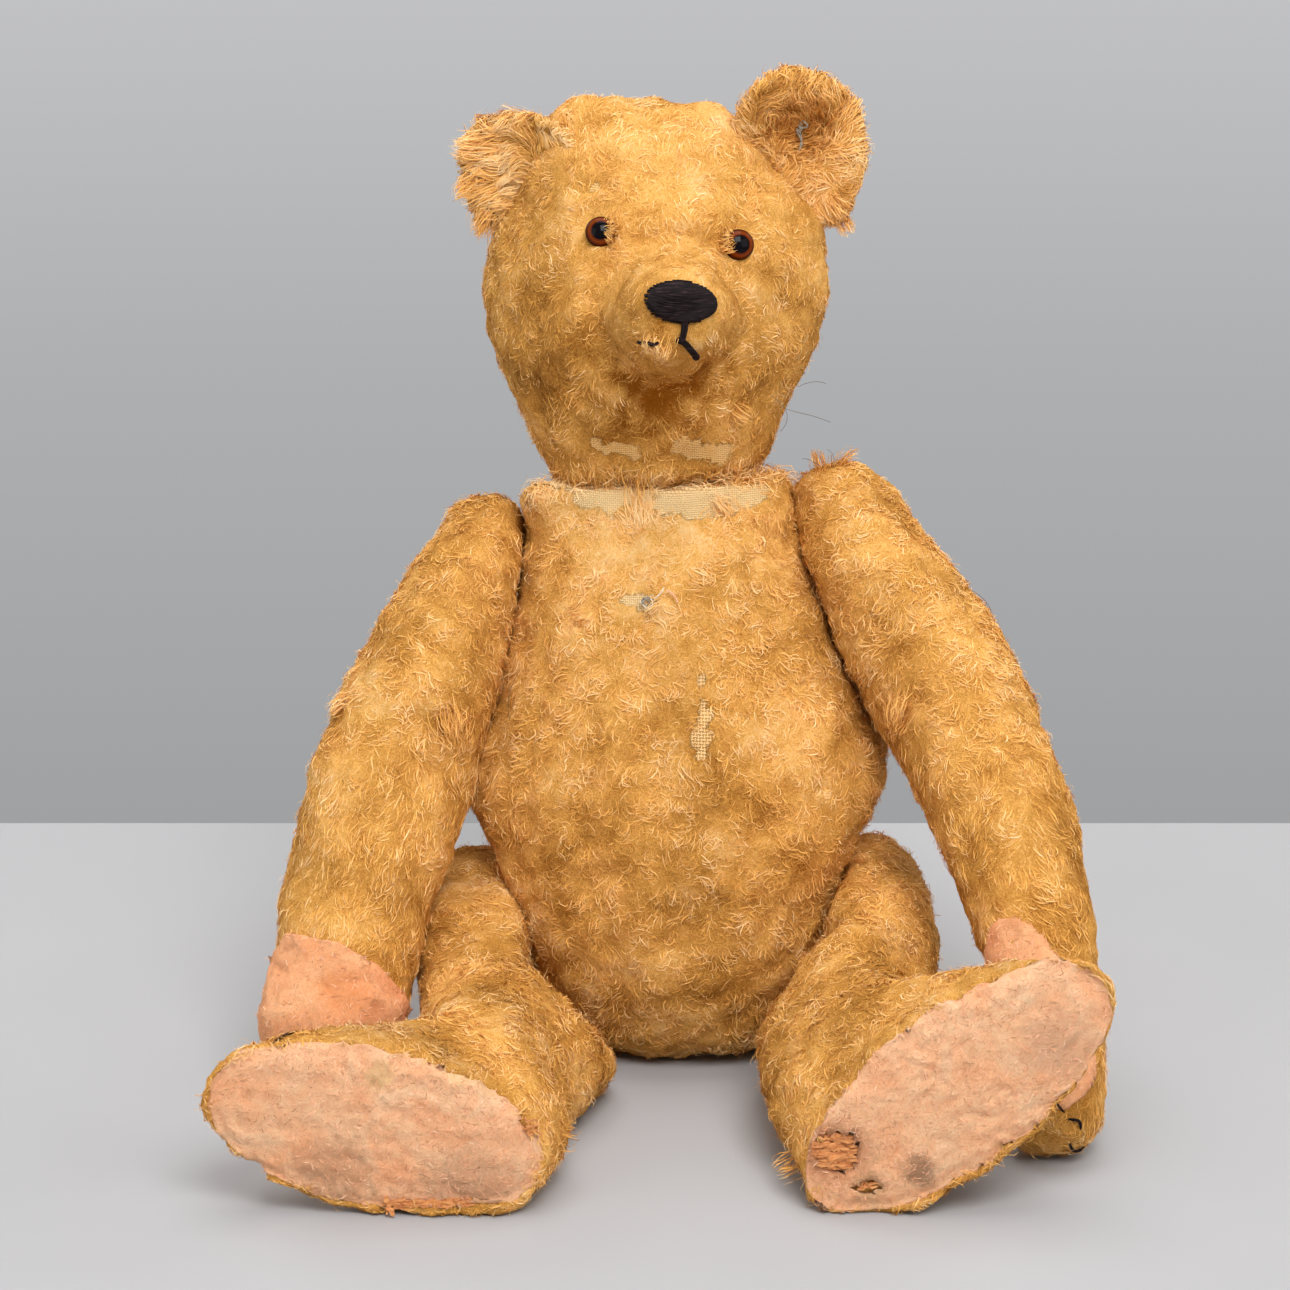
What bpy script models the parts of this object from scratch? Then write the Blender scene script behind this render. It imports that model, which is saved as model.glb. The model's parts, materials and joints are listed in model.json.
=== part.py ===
"""A jointed teddy bear, sitting on its seat and its two heels.

Sewn mohair covers stuffed with wood wool, felt paw pads and soles, glass eyes, stitched
nose, and five cardboard disc joints, each held by one steel cotter pin.
Metres, +Z up, the face towards -Y, the origin on the seat.
"""

import math

import bmesh
import bpy
import numpy as np
from mathutils import Euler, Matrix, Vector
from mathutils.bvhtree import BVHTree

MM = 0.001

# Cloth, felt, thread, and the clearance between pieces that touch.
COVER = 1.6 * MM
FELT = 1.3 * MM
BOARD = 2.0 * MM
THREAD = 0.9 * MM
GAP = 0.3 * MM

# How the bear sits: its body leans back and to one side, and its head looks up a little.
LEAN_BACK = 12.0
LEAN_SIDE = -3.0
NECK_HEIGHT = 160 * MM
FACE_TURN = 6.0
FACE_UP = 10.0
HEAD_MIDDLE = Vector((-9.5, 43, 210)) * MM
PAWS = {"left": Vector((-106, -58, 14)) * MM, "right": Vector((96, -88, 13.5)) * MM}
SOLE_AT = 134
SOLE_ROOM = 4.6 * MM
FOOT_SQUARE = 0.05

# What is sewn on, in the head's or the limb's own millimetres.
EAR_WIDE, EAR_HIGH, EAR_THICK, EAR_CUP = 40 * MM, 49 * MM, 8 * MM, 16 * MM
EARS = {
    "left": (Vector((-42.5, 46, 242)) * MM, -26, -46),
    "right": (Vector((29, 46, 247)) * MM, 6, 38),
}
EYE_RADIUS = 5 * MM
EYES = {"left": (-18, 15), "right": (19, 11)}
CHEEKS_DRAWN_IN = 0.1
NOSE_SIZE = (9.6, 5.4)
NOSE_AT = (0.2, -3.5)
LIP = [(0.4, -9.6, 66), (0.4, -11.5, 66), (0.5, -13.4, 64), (0.5, -14.6, 62)]
MOUTH = [(-8, -14.6, 60), (-5, -15.6, 60), (-1, -16, 62), (2, -17, 62), (5, -18.5, 60)]
PAW_PADS = {"left": (135, 16.5, 23, 0), "right": (158, 12.5, 27, -15)}
PAW_CLAWS = {
    "left": ((131, 138), (110, 140, 170, 200)),
    "right": ((171, 180), (78, 100, 122, 144)),
}
FOOT_CLAWS = ((119, 131), (-39, -13, 13, 39))

# Each joint: where its axis passes between the two covers, and which way the axis points.
HIP_TILT = {"left": 14.0, "right": 12.0}
HIPS = {"left": Vector((-47.5, 4, 38)) * MM, "right": Vector((41.9, 4, 40)) * MM}
SHOULDER_TILT = {"left": 8.0, "right": 18.0}
SHOULDERS = {"left": Vector((-48.0, 28.3, 128.6)) * MM, "right": Vector((33.1, 28.5, 136.1)) * MM}

# How far above and below a joint the body's flank is flat, and how fast it bulges beyond.
FLANK_FLAT = {"hip": (33 * MM, 0.45), "shoulder": (22 * MM, 0.12)}

# The disc joint's own pieces.
DISC_THICK = 2.0 * MM
DISC_HOLE = 2.5 * MM
DISC_RADIUS = {"neck": 14 * MM, "shoulder": 8.5 * MM, "hip": 8.8 * MM}
WASHER_THICK = 0.8 * MM
WASHER_RADIUS = 6 * MM
WASHER_HOLE = 2.4 * MM
PIN_WIRE = 0.9 * MM
PIN_HOLE = 2.7 * MM

SIDES = {"body": 22, "head": 22, "limb": 18, "stuffing": 14}
STUFFING_INSET = COVER + 2.4 * MM
MATERIALS = {
    "mohair": ((0.58, 0.30, 0.09), 0.95, 0.0),
    "ear_mohair": ((0.62, 0.34, 0.11), 0.95, 0.0),
    "wood_wool": ((0.55, 0.36, 0.16), 0.9, 0.0),
    "felt": ((0.84, 0.40, 0.24), 0.95, 0.0),
    "cardboard": ((0.32, 0.22, 0.13), 0.9, 0.0),
    "steel": ((0.45, 0.44, 0.42), 0.45, 1.0),
    "glass": ((0.10, 0.03, 0.01), 0.08, 0.0),
    "thread": ((0.015, 0.013, 0.015), 0.7, 0.0),
}


def material(name):
    """The named finish, made once."""
    if name not in bpy.data.materials:
        colour, roughness, metallic = MATERIALS[name]
        finish = bpy.data.materials.new(name)
        finish.use_nodes = True
        shader = finish.node_tree.nodes["Principled BSDF"]
        shader.inputs["Base Color"].default_value = (*colour, 1.0)
        shader.inputs["Roughness"].default_value = roughness
        shader.inputs["Metallic"].default_value = metallic
    return bpy.data.materials[name]


def place(name, data, finish, pivot):
    """An object from a mesh or a curve, with its origin at the pivot."""
    piece = bpy.data.objects.new(name, data)
    bpy.context.scene.collection.objects.link(piece)
    if finish:
        data.materials.append(material(finish))
    piece.location = pivot
    return piece


def finished_mesh(shape, name):
    """A mesh from a bmesh, its faces turned outwards and its round sides smooth."""
    bmesh.ops.remove_doubles(shape, verts=shape.verts, dist=0.01 * MM)
    if not any(edge.is_boundary for edge in shape.edges):
        bmesh.ops.recalc_face_normals(shape, faces=shape.faces)
    mesh = bpy.data.meshes.new(name)
    shape.to_mesh(mesh)
    shape.free()
    mesh.shade_smooth()
    mesh.set_sharp_from_angle(angle=math.radians(50))
    return mesh


def cutter(name, shape, pivot):
    """A helper that only cuts other pieces."""
    tool = place(name, finished_mesh(shape, name), None, pivot)
    tool.hide_render = True
    tool.display_type = "WIRE"
    return tool


def cut(piece, tool):
    """Takes the tool's shape out of the piece."""
    hole = piece.modifiers.new("cut " + tool.name, "BOOLEAN")
    hole.operation = "DIFFERENCE"
    hole.solver = "EXACT"
    hole.object = tool


def wall(piece, thickness):
    """Gives an open or closed skin its thickness, measured inwards."""
    solid = piece.modifiers.new("wall", "SOLIDIFY")
    solid.thickness = thickness
    solid.offset = -1.0


def shrink(piece, depth):
    """Draws a closed skin inwards by the depth, or outwards where it is negative."""
    inset = piece.modifiers.new("inset", "DISPLACE")
    inset.strength = -depth
    inset.mid_level = 0.0


# ---------------------------------------------------------------- lofted soft forms


def eased(stations, at):
    """The station at a place along the form, on a smooth curve through the given ones."""
    table = np.array(stations, float)
    along = table[:, 0]
    slope = np.gradient(table, along, axis=0)
    i = int(np.clip(np.searchsorted(along, at) - 1, 0, len(along) - 2))
    step = along[i + 1] - along[i]
    t = (at - along[i]) / step
    return (
        (2 * t**3 - 3 * t**2 + 1) * table[i]
        + (t**3 - 2 * t**2 + t) * step * slope[i]
        + (3 * t**2 - 2 * t**3) * table[i + 1]
        + (t**3 - t**2) * step * slope[i + 1]
    )


def ring(shape, sides, station, scale, beyond, squareness):
    """One oval ring across the form: along, across, up, half width, half height, twist."""
    along, across, up, wide, high, twist = station
    made = bmesh.ops.create_circle(shape, cap_ends=False, segments=sides, radius=1.0)
    for vert in made["verts"]:
        bulge = 1.0 + squareness * math.sin(2 * math.atan2(vert.co.y, vert.co.x)) ** 2
        vert.co *= bulge
    turn = Matrix.Rotation(math.radians(twist), 4, "Z")
    size = Matrix.Diagonal((wide * scale * MM, high * scale * MM, 1.0, 1.0))
    spot = Matrix.Translation(Vector((across, up, along + beyond)) * MM)
    bmesh.ops.transform(shape, matrix=spot @ turn @ size, verts=made["verts"])
    return list({edge for vert in made["verts"] for edge in vert.link_edges})


def loft(stations, sides, rings, start_round, end_round, squareness=0.0):
    """A form through the stations. Each end is rounded by its depth in mm, or flat where
    the depth is 0, or open where it is None."""
    shape = bmesh.new()
    spots = np.linspace(stations[0][0], stations[-1][0], rings)
    plan = [(eased(stations, at), 1.0, 0.0) for at in spots]
    bends = [math.radians(angle) for angle in (30, 60)]
    if start_round:
        dome = [(plan[0][0], math.cos(b), -start_round * math.sin(b)) for b in bends]
        plan = dome[::-1] + plan
    if end_round:
        plan += [(plan[-1][0], math.cos(b), end_round * math.sin(b)) for b in bends]
    loops = [ring(shape, sides, *place_in_plan, squareness) for place_in_plan in plan]
    for first, second in zip(loops, loops[1:]):
        bmesh.ops.bridge_loops(shape, edges=first + second)
    hubs = [
        close_end(shape, loops[0], -(start_round or 0) * (1 - math.sin(bends[-1]))),
        close_end(shape, loops[-1], (end_round or 0) * (1 - math.sin(bends[-1]))),
    ]
    bmesh.ops.recalc_face_normals(shape, faces=shape.faces)
    opened = [hub for hub, depth in zip(hubs, (start_round, end_round)) if depth is None]
    bmesh.ops.delete(shape, geom=opened, context="VERTS")
    return shape


def close_end(shape, loop, rise):
    """Fills the last ring with faces round a middle point, and returns that point."""
    face = bmesh.ops.contextual_create(shape, geom=loop)["faces"]
    hub = bmesh.ops.poke(shape, faces=face)["verts"][0]
    hub.co.z += rise * MM
    return hub


def turn_into(shape, frame):
    """Moves a form into its frame. A mirrored frame would leave it inside out."""
    bmesh.ops.transform(shape, matrix=frame, verts=shape.verts)
    if frame.determinant() < 0:
        bmesh.ops.reverse_faces(shape, faces=shape.faces)


def press(shape, point, normal, reach=0.0, bulge=0.0):
    """Flattens what would pass a plane, as a stuffed form does against what it rests on.
    Higher or lower than the reach, the form may bulge past the plane by that slope."""
    for vert in shape.verts:
        allowed = bulge * max(0.0, abs(vert.co.z - point.z) - reach)
        past = (vert.co - point).dot(normal) - allowed
        if past > 0:
            vert.co -= past * normal


def press_cone(shape, flat_radius, fall):
    """Keeps a limb outside the body: flat round its joint axis, then falling away."""
    for vert in shape.verts:
        beyond = math.hypot(vert.co.x, vert.co.z) - flat_radius
        lowest = GAP - fall * max(0.0, beyond)
        vert.co.y = max(vert.co.y, lowest)


# ---------------------------------------------------------------- frames


def body_frame():
    """The leaning body: x across, y to the back, z up its middle."""
    lean = Matrix.Rotation(math.radians(-LEAN_BACK), 4, "X")
    return Matrix.Rotation(math.radians(LEAN_SIDE), 4, "Y") @ lean


def limb_frame(outward, down):
    """Columns: the limb's front, the joint axis outwards, and down the limb."""
    outward = outward.normalized()
    down = (down - down.dot(outward) * outward).normalized()
    front = outward.cross(down)
    if front.z < 0:
        front = -front
    return Matrix((front, outward, down)).transposed().to_4x4()


def axis_frame(axis):
    """A frame whose z runs along a joint's axis."""
    return axis.to_track_quat("Z", "Y").to_matrix().to_4x4()


def hip_axis(side):
    """Outwards and a little down, square to the tapered flank of the body."""
    sign = -1 if side == "left" else 1
    tilt = math.radians(HIP_TILT[side])
    return Vector((sign * math.cos(tilt), 0, -math.sin(tilt)))


def shoulder_axis(side):
    """Outwards and a little up, square to the sloping shoulder of the body."""
    sign = -1 if side == "left" else 1
    tilt = math.radians(SHOULDER_TILT[side])
    return Vector((sign * math.cos(tilt), 0, math.sin(tilt)))


def neck_axis():
    return body_frame().to_3x3() @ Vector((0, 0, 1))


def neck_point():
    return body_frame() @ Vector((0, 0, NECK_HEIGHT))


def joints():
    """Every joint: its name, its kind, its point and its axis towards the limb."""
    yield "neck", "neck", neck_point(), neck_axis()
    for side in ("left", "right"):
        yield "shoulder_" + side, "shoulder", SHOULDERS[side], shoulder_axis(side)
        yield "hip_" + side, "hip", HIPS[side], hip_axis(side)


# ---------------------------------------------------------------- the disc joints


def turned(profile, steps):
    """A turned piece from (radius, height) points in mm, going up its outer side."""
    shape = bmesh.new()
    verts = [shape.verts.new(Vector((r, 0, h)) * MM) for r, h in profile]
    edges = [shape.edges.new(pair) for pair in zip(verts, verts[1:] + verts[:1])]
    bmesh.ops.spin(
        shape, geom=verts + edges, axis=(0, 0, 1), cent=(0, 0, 0), dvec=(0, 0, 0),
        angle=math.tau, steps=steps, use_merge=True, use_duplicate=False,
    )
    return shape


def flat_ring(hole, radius, low, high, steps):
    """A flat disc with a hole."""
    corners = [(hole, low), (radius, low), (radius, high), (hole, high)]
    return turned([(r / MM, h / MM) for r, h in corners], steps)


def plug(name, radius, low, high, frame, pivot):
    """A round cutter along the joint's axis."""
    shape = bmesh.new()
    bmesh.ops.create_cone(
        shape, cap_ends=True, segments=12, radius1=radius, radius2=radius, depth=high - low,
        matrix=frame @ Matrix.Translation((0, 0, (low + high) / 2)),
    )
    return cutter(name, shape, pivot)


def cotter_pin(name, frame, pivot, under_head, under_bend):
    """A wire bent back on itself: a round eye, two straight legs, and their ends curled out."""
    leg = PIN_WIRE + GAP / 2
    eye = 2.7 * MM
    turns = [math.radians(angle) for angle in range(-60, 241, 60)]
    head = under_head + PIN_WIRE + 1.6 * MM
    loop = [(eye * math.cos(a), head + eye * (1 + math.sin(a))) for a in turns]
    curl = [(0.0, -0.6), (1.2, -2.4), (3.6, -2.9), (6.0, -1.4)]
    foot = [(leg + x * MM, under_bend + z * MM) for x, z in curl]
    right = foot[::-1] + [(leg, 0.0), (leg, head - 0.5 * MM)]
    left = [(-x, z) for x, z in right[::-1]]
    route = right + loop + left
    wire = bpy.data.curves.new(name, "CURVE")
    wire.dimensions = "3D"
    wire.bevel_depth = PIN_WIRE
    wire.bevel_resolution = 1
    wire.use_fill_caps = True
    spline = wire.splines.new("POLY")
    spline.points.add(len(route) - 1)
    for point, (x, z) in zip(spline.points, route):
        point.co = (*(frame @ Vector((x, 0, z))), 1.0)
    return place(name, wire, "steel", pivot)


def make_room(radius, depth, inner_radius, inner_depth):
    """The stepped hollow that a disc and its washer and pin press into the stuffing."""
    profile = [(0, 0), (radius, 0), (radius, depth), (inner_radius, depth),
               (inner_radius, inner_depth), (0, inner_depth)]
    return turned([(r / MM, h / MM) for r, h in profile], 16)


def disc_joint(name, kind, pivot, axis, body_side, limb_side):
    """The discs, washers and pin of one joint, with their room in covers and stuffing."""
    frame = axis_frame(axis)
    radius = DISC_RADIUS[kind]
    near = GAP + COVER + GAP
    far = near + DISC_THICK
    washer = far + GAP
    head = washer + WASHER_THICK + GAP
    for side, flip in (("limb", frame), ("body", frame @ Matrix.Rotation(math.pi, 4, "X"))):
        stack = (
            ("disc", "cardboard", flat_ring(DISC_HOLE, radius, near, far, 18)),
            ("washer", "steel",
             flat_ring(WASHER_HOLE, WASHER_RADIUS, washer, washer + WASHER_THICK, 12)),
        )
        for kind_name, finish, shape in stack:
            bmesh.ops.transform(shape, matrix=flip, verts=shape.verts)
            piece_name = f"{name}_{side}_{kind_name}"
            place(piece_name, finished_mesh(shape, piece_name), finish, pivot)
        cover, stuffing = limb_side if side == "limb" else body_side
        reach = head + (9.5 * MM if side == "limb" else 5.5 * MM)
        room = make_room(radius + 0.6 * MM, far + GAP, 9.5 * MM, reach)
        bmesh.ops.transform(room, matrix=flip, verts=room.verts)
        cut(stuffing, cutter(f"room_{name}_{side}", room, pivot))
        cut(cover, plug(f"hole_{name}_{side}", PIN_HOLE, 0, 4 * COVER, flip, pivot))
    cotter_pin(name + "_cotter_pin", frame, pivot, head, -head)


# ---------------------------------------------------------------- covers and stuffing


def sides_of(form, part):
    """How many flat sides a form has: its stuffing, unseen, has the fewest."""
    return SIDES["stuffing"] if part == "stuffing" else SIDES[form]


def cover_and_stuffing(name, make, frame, pivot, end_room=None):
    """The sewn cover of one form, and the stuffing that fills it."""
    pair = []
    for part, finish in (("cover", "mohair"), ("stuffing", "wood_wool")):
        shape = make(part)
        turn_into(shape, frame)
        piece_name = f"{name}_{part}"
        pair.append(place(piece_name, finished_mesh(shape, piece_name), finish, pivot))
    wall(pair[0], COVER)
    shrink(pair[1], STUFFING_INSET)
    return pair


def press_on_table(shape, frame, pivot, above=0.0):
    """Flattens the form where it meets the surface it sits on, or a little above it."""
    into = frame.inverted()
    normal = (into.to_3x3() @ Vector((0, 0, -1))).normalized()
    press(shape, into @ Vector((0, 0, above - pivot.z)), normal)


def body_shape(part):
    """The body: a pear with tapered hips, its flanks pressed flat by the limbs."""
    stations = [
        (7, 0, -5, 31, 27, 0),
        (16, 0, -4, 38, 34, 0),
        (30, 0, -3, 46, 39, 0),
        (50, 1, -3, 53, 43, 0),
        (70, 1, -2, 57.5, 44, 0),
        (98, 0.5, 0, 54, 41, 0),
        (125, 0, 2, 45, 37, 0),
        (146, 0, 3, 41.5, 32, 0),
        (153, 0, 2, 38.5, 28, 0),
    ]
    shape = loft(stations, sides_of("body", part), 12, 10, 10, squareness=0.02)
    frame = body_frame()
    press(shape, Vector((0, 0, NECK_HEIGHT - GAP)), Vector((0, 0, 1)))
    into = frame.inverted().to_3x3()
    for _, kind, point, axis in joints():
        if kind != "neck":
            spot = into @ point - GAP * (into @ axis)
            press(shape, spot, into @ axis, *FLANK_FLAT[kind])
    press_on_table(shape, frame, Vector())
    return shape


def head_frame():
    """The head: x across, y up, z out through the nose, its origin at its middle."""
    face = Euler((math.radians(-FACE_UP), 0, math.radians(FACE_TURN))).to_matrix()
    across = face @ Vector((1, 0, 0))
    forward = face @ Vector((0, -1, 0))
    axes = Matrix((across, across.cross(forward) * -1, forward)).transposed().to_4x4()
    return Matrix.Translation(HEAD_MIDDLE - neck_point()) @ axes


def head_shape(part):
    """The head: a round skull, a short muzzle, and a neck drawn flat over its disc."""
    stations = [
        (-36, 0, -2, 33, 40, 0),
        (-20, 0, -6, 43, 54, 0),
        (0, 0, -8, 47.5, 60, 0),
        (16, 0, -9, 44, 55, 0),
        (28, 0, -7, 35, 41, 0),
        (36, 0, -8, 25, 27, 0),
        (44, 0, -8, 18.5, 19, 0),
        (54, 0, -8, 16, 16, 0),
    ]
    shape = loft(stations, sides_of("head", part), 13, 10, 8)
    for vert in shape.verts:
        below = min(max(-15 - vert.co.y / MM, 0) / 25, 1)
        vert.co.x *= 1 - CHEEKS_DRAWN_IN * below
    into = head_frame().inverted()
    axis = into.to_3x3() @ neck_axis()
    press(shape, into @ Vector() + GAP * axis, -axis)
    return shape


def arm_frame(side):
    """The arm: x to its front, y outwards along the joint axis, z down to the paw."""
    return limb_frame(shoulder_axis(side), PAWS[side] - SHOULDERS[side])


def leg_frame(side):
    """The leg: x towards the toes, y outwards along the joint axis, z down to the sole."""
    return limb_frame(hip_axis(side), Vector((0, -1, 0)))


def arm_stations(side):
    """Down each arm: along, front, out, half depth, half width, twist."""
    return {
        "left": [
            (-12, 0, 11, 19, 12.5, 0),
            (0, 0, 12.5, 25, 17, 0),
            (20, 0, 18.5, 25, 20, 0),
            (39, 1, 23, 23.5, 20.5, 0),
            (68, 0, 27, 21.5, 21, 0),
            (96, -1, 30.5, 19, 19, 0),
            (122, -3, 32.5, 17.5, 18, 0),
            (138, -2, 33.5, 17, 17, 0),
        ],
        "right": [
            (-10, 0, 14.5, 20, 16.5, 0),
            (0, 0, 15, 25, 20.5, 0),
            (21, -2, 20.5, 25, 21.5, 0),
            (54, -3.5, 27, 24, 21, 0),
            (88, 0.5, 29, 21, 19.5, 0),
            (121, 5, 30, 17, 16, 0),
            (140, 6, 30, 15.5, 14, 0),
            (160, 3, 27, 17, 13.5, 0),
            (180, -1, 23, 15.5, 12.5, 0),
        ],
    }[side]


def arm_shape(part, side):
    """An arm: a flat round shoulder, a bent elbow, and a narrow wrist above the paw."""
    shape = loft(arm_stations(side), sides_of("limb", part), 11, 11, 10)
    press_cone(shape, 200 * MM, 0)
    return shape


def leg_stations(side):
    """Down each leg: along, front, out, half length, half width, twist."""
    return {
        "left": [
            (-16, -6, 10, 24, 17, 14),
            (0, -6.5, 10.5, 29, 20, 17),
            (22, -13, 7, 31, 17, 34),
            (44, -17, 3, 29, 17, 48),
            (70, -17, 4, 25, 19, 57),
            (92, -16, 8, 25, 19.5, 61),
            (106, -13.5, 15.5, 31, 20, 62),
            (118, -10, 26.5, 38.5, 21, 62),
            (134, -8, 36.5, 43, 21.5, 62),
        ],
        "right": [
            (-16, -4.5, 8.5, 23, 15.5, 12),
            (0, -6, 9, 28, 18, 15),
            (22, -10, 8, 29, 17.5, 25),
            (44, -11, 3, 28, 18, 33),
            (70, -14, 2.5, 24, 19, 37),
            (92, -13.5, 4.5, 24, 19, 39),
            (106, -9.5, 10.5, 30, 19, 39),
            (118, -5.5, 19.5, 38, 19, 37.5),
            (134, -3.5, 26, 42.5, 19.5, 37),
        ],
    }[side]


def leg_shape(part, side):
    """A leg: a round thigh, a thinner ankle, and a foot that turns out to its toes."""
    stations = leg_stations(side)
    if part == "stuffing":
        last = eased(stations, SOLE_AT - SOLE_ROOM / MM)
        stations = stations[:-1] + [tuple(last)]
    end = 0 if part == "stuffing" else None
    shape = loft(stations, sides_of("limb", part), 12, 13, end, FOOT_SQUARE)
    press_cone(shape, 40 * MM, 1.0)
    press_on_table(shape, leg_frame(side), HIPS[side])
    return shape


# ---------------------------------------------------------------- what is sewn on


def grown(source, name, depth):
    """A helper skin: another form drawn outwards by the depth."""
    tool = place(name, source.data.copy(), None, source.location)
    tool.hide_render = True
    tool.display_type = "WIRE"
    shrink(tool, -depth)
    return tool


def prism(name, outline, frame, pivot, low, high):
    """An upright helper block with the given outline of points in mm."""
    shape = bmesh.new()
    verts = [shape.verts.new(Vector((x, y, low)) * MM) for x, y in outline]
    face = shape.faces.new(verts)
    lifted = bmesh.ops.extrude_face_region(shape, geom=[face])["geom"]
    lift = [item for item in lifted if isinstance(item, bmesh.types.BMVert)]
    bmesh.ops.translate(shape, vec=Vector((0, 0, high - low)) * MM, verts=lift)
    bmesh.ops.transform(shape, matrix=frame, verts=shape.verts)
    return cutter(name, shape, pivot)


def oval(wide, high, steps=20, at=(0, 0), turn=0.0):
    """The points of an oval outline."""
    c, s = math.cos(math.radians(turn)), math.sin(math.radians(turn))
    points = []
    for k in range(steps):
        angle = math.tau * k / steps
        x, y = wide * math.cos(angle), high * math.sin(angle)
        points.append((at[0] + c * x - s * y, at[1] + s * x + c * y))
    return points


def overlay(name, stuffing, finish, thickness, block):
    """A patch of even thickness that lies on a cover, inside the block's outline."""
    outer = grown(stuffing, "outside_" + name, GAP + thickness)
    inner = grown(stuffing, "inside_" + name, GAP)
    patch = place(name, outer.data.copy(), finish, stuffing.location)
    shrink(patch, -GAP - thickness)
    kept = patch.modifiers.new("outline", "BOOLEAN")
    kept.operation = "INTERSECT"
    kept.solver = "EXACT"
    kept.object = block
    cut(patch, inner)
    bpy.data.objects.remove(outer)
    return patch


def stitches(name, route, frame, pivot, skin, radius):
    """One thread along the surface of a cover, through points in the frame's own mm."""
    tree = BVHTree.FromPolygons(
        [vert.co for vert in skin.data.vertices], [p.vertices for p in skin.data.polygons]
    )
    wire = bpy.data.curves.new(name, "CURVE")
    wire.dimensions = "3D"
    wire.bevel_depth = radius
    wire.bevel_resolution = 1
    wire.use_fill_caps = True
    spline = wire.splines.new("POLY")
    spline.points.add(len(route) - 1)
    for point, spot in zip(spline.points, route):
        near, normal, _, _ = tree.find_nearest(frame @ (Vector(spot) * MM))
        point.co = (*(near + normal * (radius + 2 * GAP)), 1.0)
    return place(name, wire, "thread", pivot)


def sole_plate(name, side, finish, inset, low, high):
    """An oval plate in the mouth of the foot, between two depths along the leg."""
    _, across, up, wide, tall, twist = leg_stations(side)[-1]
    size = (across, up, wide - inset / MM, tall - inset / MM, twist)
    shape = loft(
        [(low / MM, *size), (high / MM, *size)], SIDES["limb"], 2, 0, 0, FOOT_SQUARE
    )
    press_on_table(shape, leg_frame(side), HIPS[side], inset)
    turn_into(shape, leg_frame(side))
    return place(name, finished_mesh(shape, name), finish, HIPS[side])


def soles(side):
    """The felt sole sewn into the foot's mouth, and the card board that stiffens it."""
    rim = SOLE_AT * MM
    felt = rim - FELT
    sole_plate("sole_pad_" + side, side, "felt", 3.4 * MM, felt, rim)
    board = felt - GAP - BOARD
    sole_plate("insole_board_" + side, side, "cardboard", 5.6 * MM, board, board + BOARD)


def claw_route(stations, ends, angles):
    """A thread laid to and fro across the tip of a limb: a claw each way."""
    path = []
    for count, angle in enumerate(angles):
        reach = ends if count % 2 == 0 else ends[::-1]
        if path:
            last = path[-1][1]
            path += [(reach[0], last + (angle - last) * part) for part in (1 / 3, 2 / 3)]
        path += [(at, angle) for at in np.linspace(*reach, 3)]
    route = []
    for at, angle in path:
        _, across, up, wide, tall, twist = eased(stations, at)
        spread, roll = math.radians(angle), math.radians(twist)
        x, y = wide * math.cos(spread), tall * math.sin(spread)
        route.append(
            (across + x * math.cos(roll) - y * math.sin(roll),
             up + x * math.sin(roll) + y * math.cos(roll), at)
        )
    return route


def paw_pad(side, cover):
    """A felt pad sewn over the inside of the paw."""
    middle, width, length, turn = PAW_PADS[side]
    frame = arm_frame(side)
    _, across, up, *_ = eased(arm_stations(side), middle)
    spot = Matrix.Translation(Vector((across, up, middle)) * MM)
    face = Matrix.Rotation(math.radians(turn), 4, "Z") @ Matrix.Rotation(math.pi / 2, 4, "Y")
    outline = oval(length, width)
    block = prism("outline_paw_" + side, outline, frame @ spot @ face, SHOULDERS[side], 2, 40)
    return overlay("paw_pad_" + side, cover, "felt", FELT, block)


def ear(side, head):
    """A cupped ear of two sewn layers, its base shaped to the head."""
    middle, turn, lean = EARS[side]
    shape = bmesh.new()
    bmesh.ops.create_uvsphere(shape, u_segments=18, v_segments=10, radius=1.0)
    for vert in shape.verts:
        x, y, z = vert.co
        vert.co = Vector((x * EAR_WIDE, y * EAR_THICK - EAR_CUP * x * x, z * EAR_HIGH)) / 2
    aim = Matrix.Rotation(math.radians(turn), 4, "Z") @ Matrix.Rotation(math.radians(lean), 4, "Y")
    frame = Matrix.Translation(middle - neck_point()) @ aim
    bmesh.ops.transform(shape, matrix=frame, verts=shape.verts)
    name = "ear_" + side
    piece = place(name, finished_mesh(shape, name), "ear_mohair", neck_point())
    cut(piece, grown(head, "seat_of_" + name, GAP))


def eye(side, head):
    """A glass eye, domed in front and seated on the cover."""
    spot = Vector((*EYES[side], 0)) * MM
    into = head_frame()
    tree = BVHTree.FromPolygons(
        [vert.co for vert in head.data.vertices], [p.vertices for p in head.data.polygons]
    )
    forward = into.to_3x3() @ Vector((0, 0, 1))
    start = into @ spot + forward * 90 * MM
    place_on, normal, _, _ = tree.ray_cast(start, -forward)
    shape = bmesh.new()
    bmesh.ops.create_uvsphere(shape, u_segments=14, v_segments=8, radius=EYE_RADIUS)
    aim = normal.lerp(forward, 0.3).to_track_quat("Z", "Y").to_matrix().to_4x4()
    dome = Matrix.Diagonal((1, 1, 0.62, 1))
    seat = Matrix.Translation(place_on + normal * 0.6 * MM)
    bmesh.ops.transform(shape, matrix=seat @ aim @ dome, verts=shape.verts)
    name = "eye_" + side
    piece = place(name, finished_mesh(shape, name), "glass", neck_point())
    cut(piece, grown(head, "seat_of_" + name, GAP))


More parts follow.
